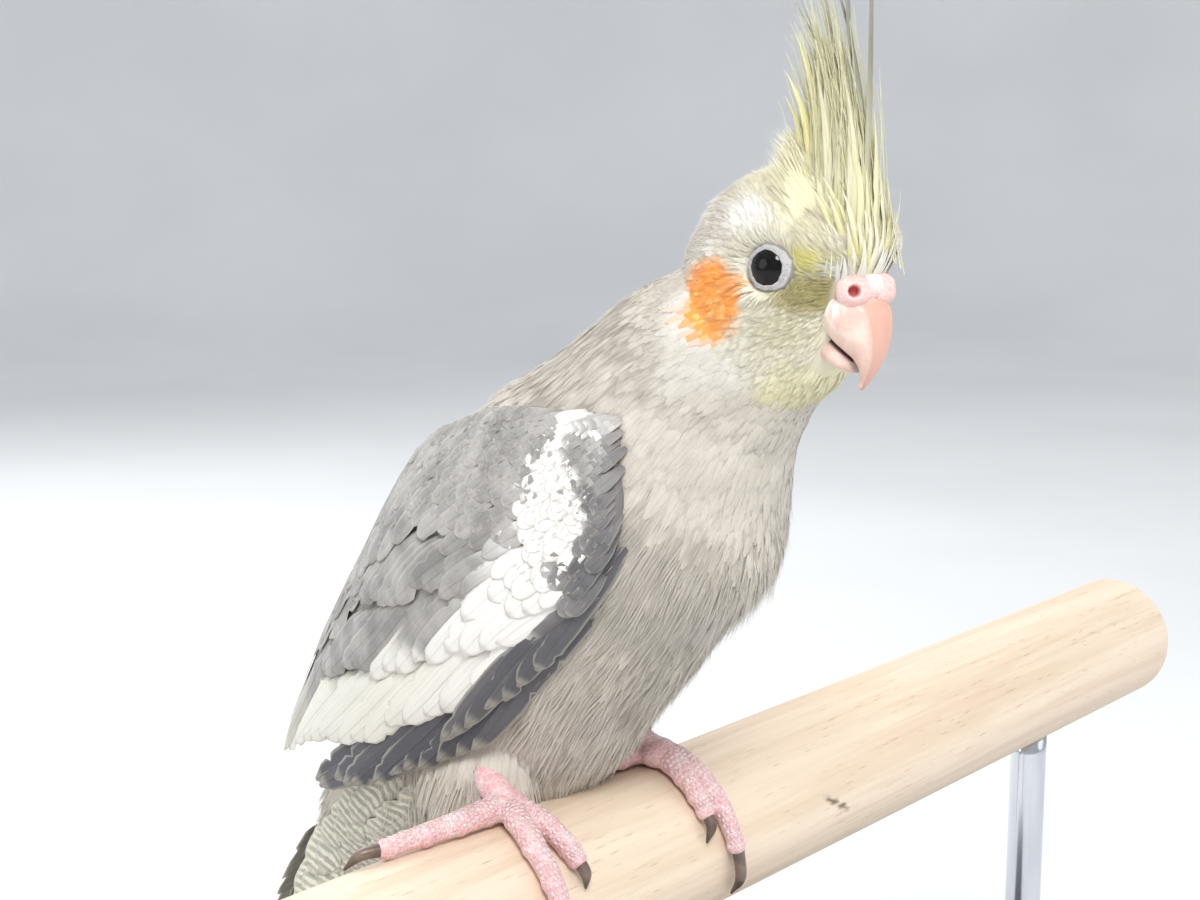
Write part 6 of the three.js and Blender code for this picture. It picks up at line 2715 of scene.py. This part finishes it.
@dataclass
class Studio:
    """Floor, soft light and the camera at the photograph's angle."""

    lens: float = 57.0
    place: tuple = (-0.274616, -0.194739, 0.254292)
    turn: tuple = (80.5866, 0, -49.7574)
    lights: tuple = (
        ("key", (-0.62, -0.62, 1.05), 0.42, 10.5),
        ("fill", (0.45, -1.1, 0.6), 1.0, 2.4),
        ("back", (0.3, 0.9, 0.9), 0.8, 8),
        ("side", (-1.0, 0.5, 0.5), 0.8, 2.0),
    )

    def build(self) -> None:
        """Makes the camera, lights, world and floor."""
        scene = bpy.context.scene
        camera = bpy.data.cameras.new("camera")
        camera.lens, camera.sensor_width, camera.clip_start = self.lens, 36, 0.005
        holder = bpy.data.objects.new("camera", camera)
        holder.location = self.place
        holder.rotation_euler = [math.radians(v) for v in self.turn]
        scene.collection.objects.link(holder)
        scene.camera = holder
        aim = Vector((-0.05, 0.0, 0.17))
        for name, place, size, power in self.lights:
            lamp = bpy.data.lights.new(name, "AREA")
            lamp.shape, lamp.size, lamp.energy = "DISK", size, power
            stand = bpy.data.objects.new(name, lamp)
            stand.location = place
            stand.rotation_euler = (aim - Vector(place)).to_track_quat("-Z", "Y").to_euler()
            scene.collection.objects.link(stand)
        world = bpy.data.worlds.new("studio")
        world.use_nodes = True
        sky = world.node_tree.nodes["Background"].inputs
        sky[0].default_value = (0.98, 0.985, 1.0, 1)
        sky[1].default_value = 0.75
        scene.world = world
        scene.view_settings.view_transform = "Standard"
        self.floor()

    def floor(self) -> None:
        """A pale floor that curves up into a backdrop."""
        finish = bpy.data.materials.new("floor")
        finish.use_nodes = True
        wiring = Wiring(finish.node_tree)
        shader = finish.node_tree.nodes["Principled BSDF"]
        place = wiring.place()
        cloud = wiring.noise(place, 3, 3)
        colour = wiring.blend(wiring.ramp(cloud, 0.3, 0.7), rgb(226, 228, 230), rgb(232, 234, 236))
        wiring.join(colour, shader, "Base Color")
        shader.inputs["Roughness"].default_value = 0.7
        bend = np.linspace(0, np.pi / 2, 9)
        outline = [(r, 0) for r in (0.05, 0.3, 0.8, 1.4)]
        outline += [
            (1.9 + 0.8 * math.sin(b), 0.8 - 0.8 * math.cos(b)) for b in bend
        ] + [(2.7, z) for z in (1.6, 2.4)]
        a = circle(72)
        points = [(r * math.cos(t), r * math.sin(t), z) for r, z in [(0, 0)] + outline for t in a]
        mesh = bpy.data.meshes.new("floor")
        mesh.from_pydata(points, [], grid_quads(len(outline) + 1, 72, True)[:, ::-1].tolist())
        mesh.validate()
        linked("floor", mesh, finish)


def finish_pieces(pieces: Sequence[Object]) -> None:
    """Sets each piece on the bird's body and logs how many faces it has.

    Args:
        pieces: All pieces.
    """
    for piece in pieces:
        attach(piece, "root")
        log.info("%s: %d faces", piece.name, len(piece.data.polygons))


def main() -> None:
    """Builds the bird, its perch and stand, and the studio round them."""
    logging.basicConfig(level=logging.INFO, format="%(message)s")
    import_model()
    Studio().build()
    skin = Skin()
    pieces = [skin.build()]
    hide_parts("torso", "neck", "head", "thigh_right", "thigh_left")
    pieces += Coat(skin).build()
    skin.mark()
    for side in Side:
        pieces += Wing(side).build()
    pieces += [Tail().build(), *Crest().build()]
    pieces += Bill().build()
    for foot in (RIGHT_FOOT, LEFT_FOOT):
        pieces += foot.build()
    pieces.append(Perch().build())
    pieces += Stand().build()
    drop(skin.thing.data, *COAT_DATA)
    finish_pieces(pieces)


if __name__ == "__main__":
    main()
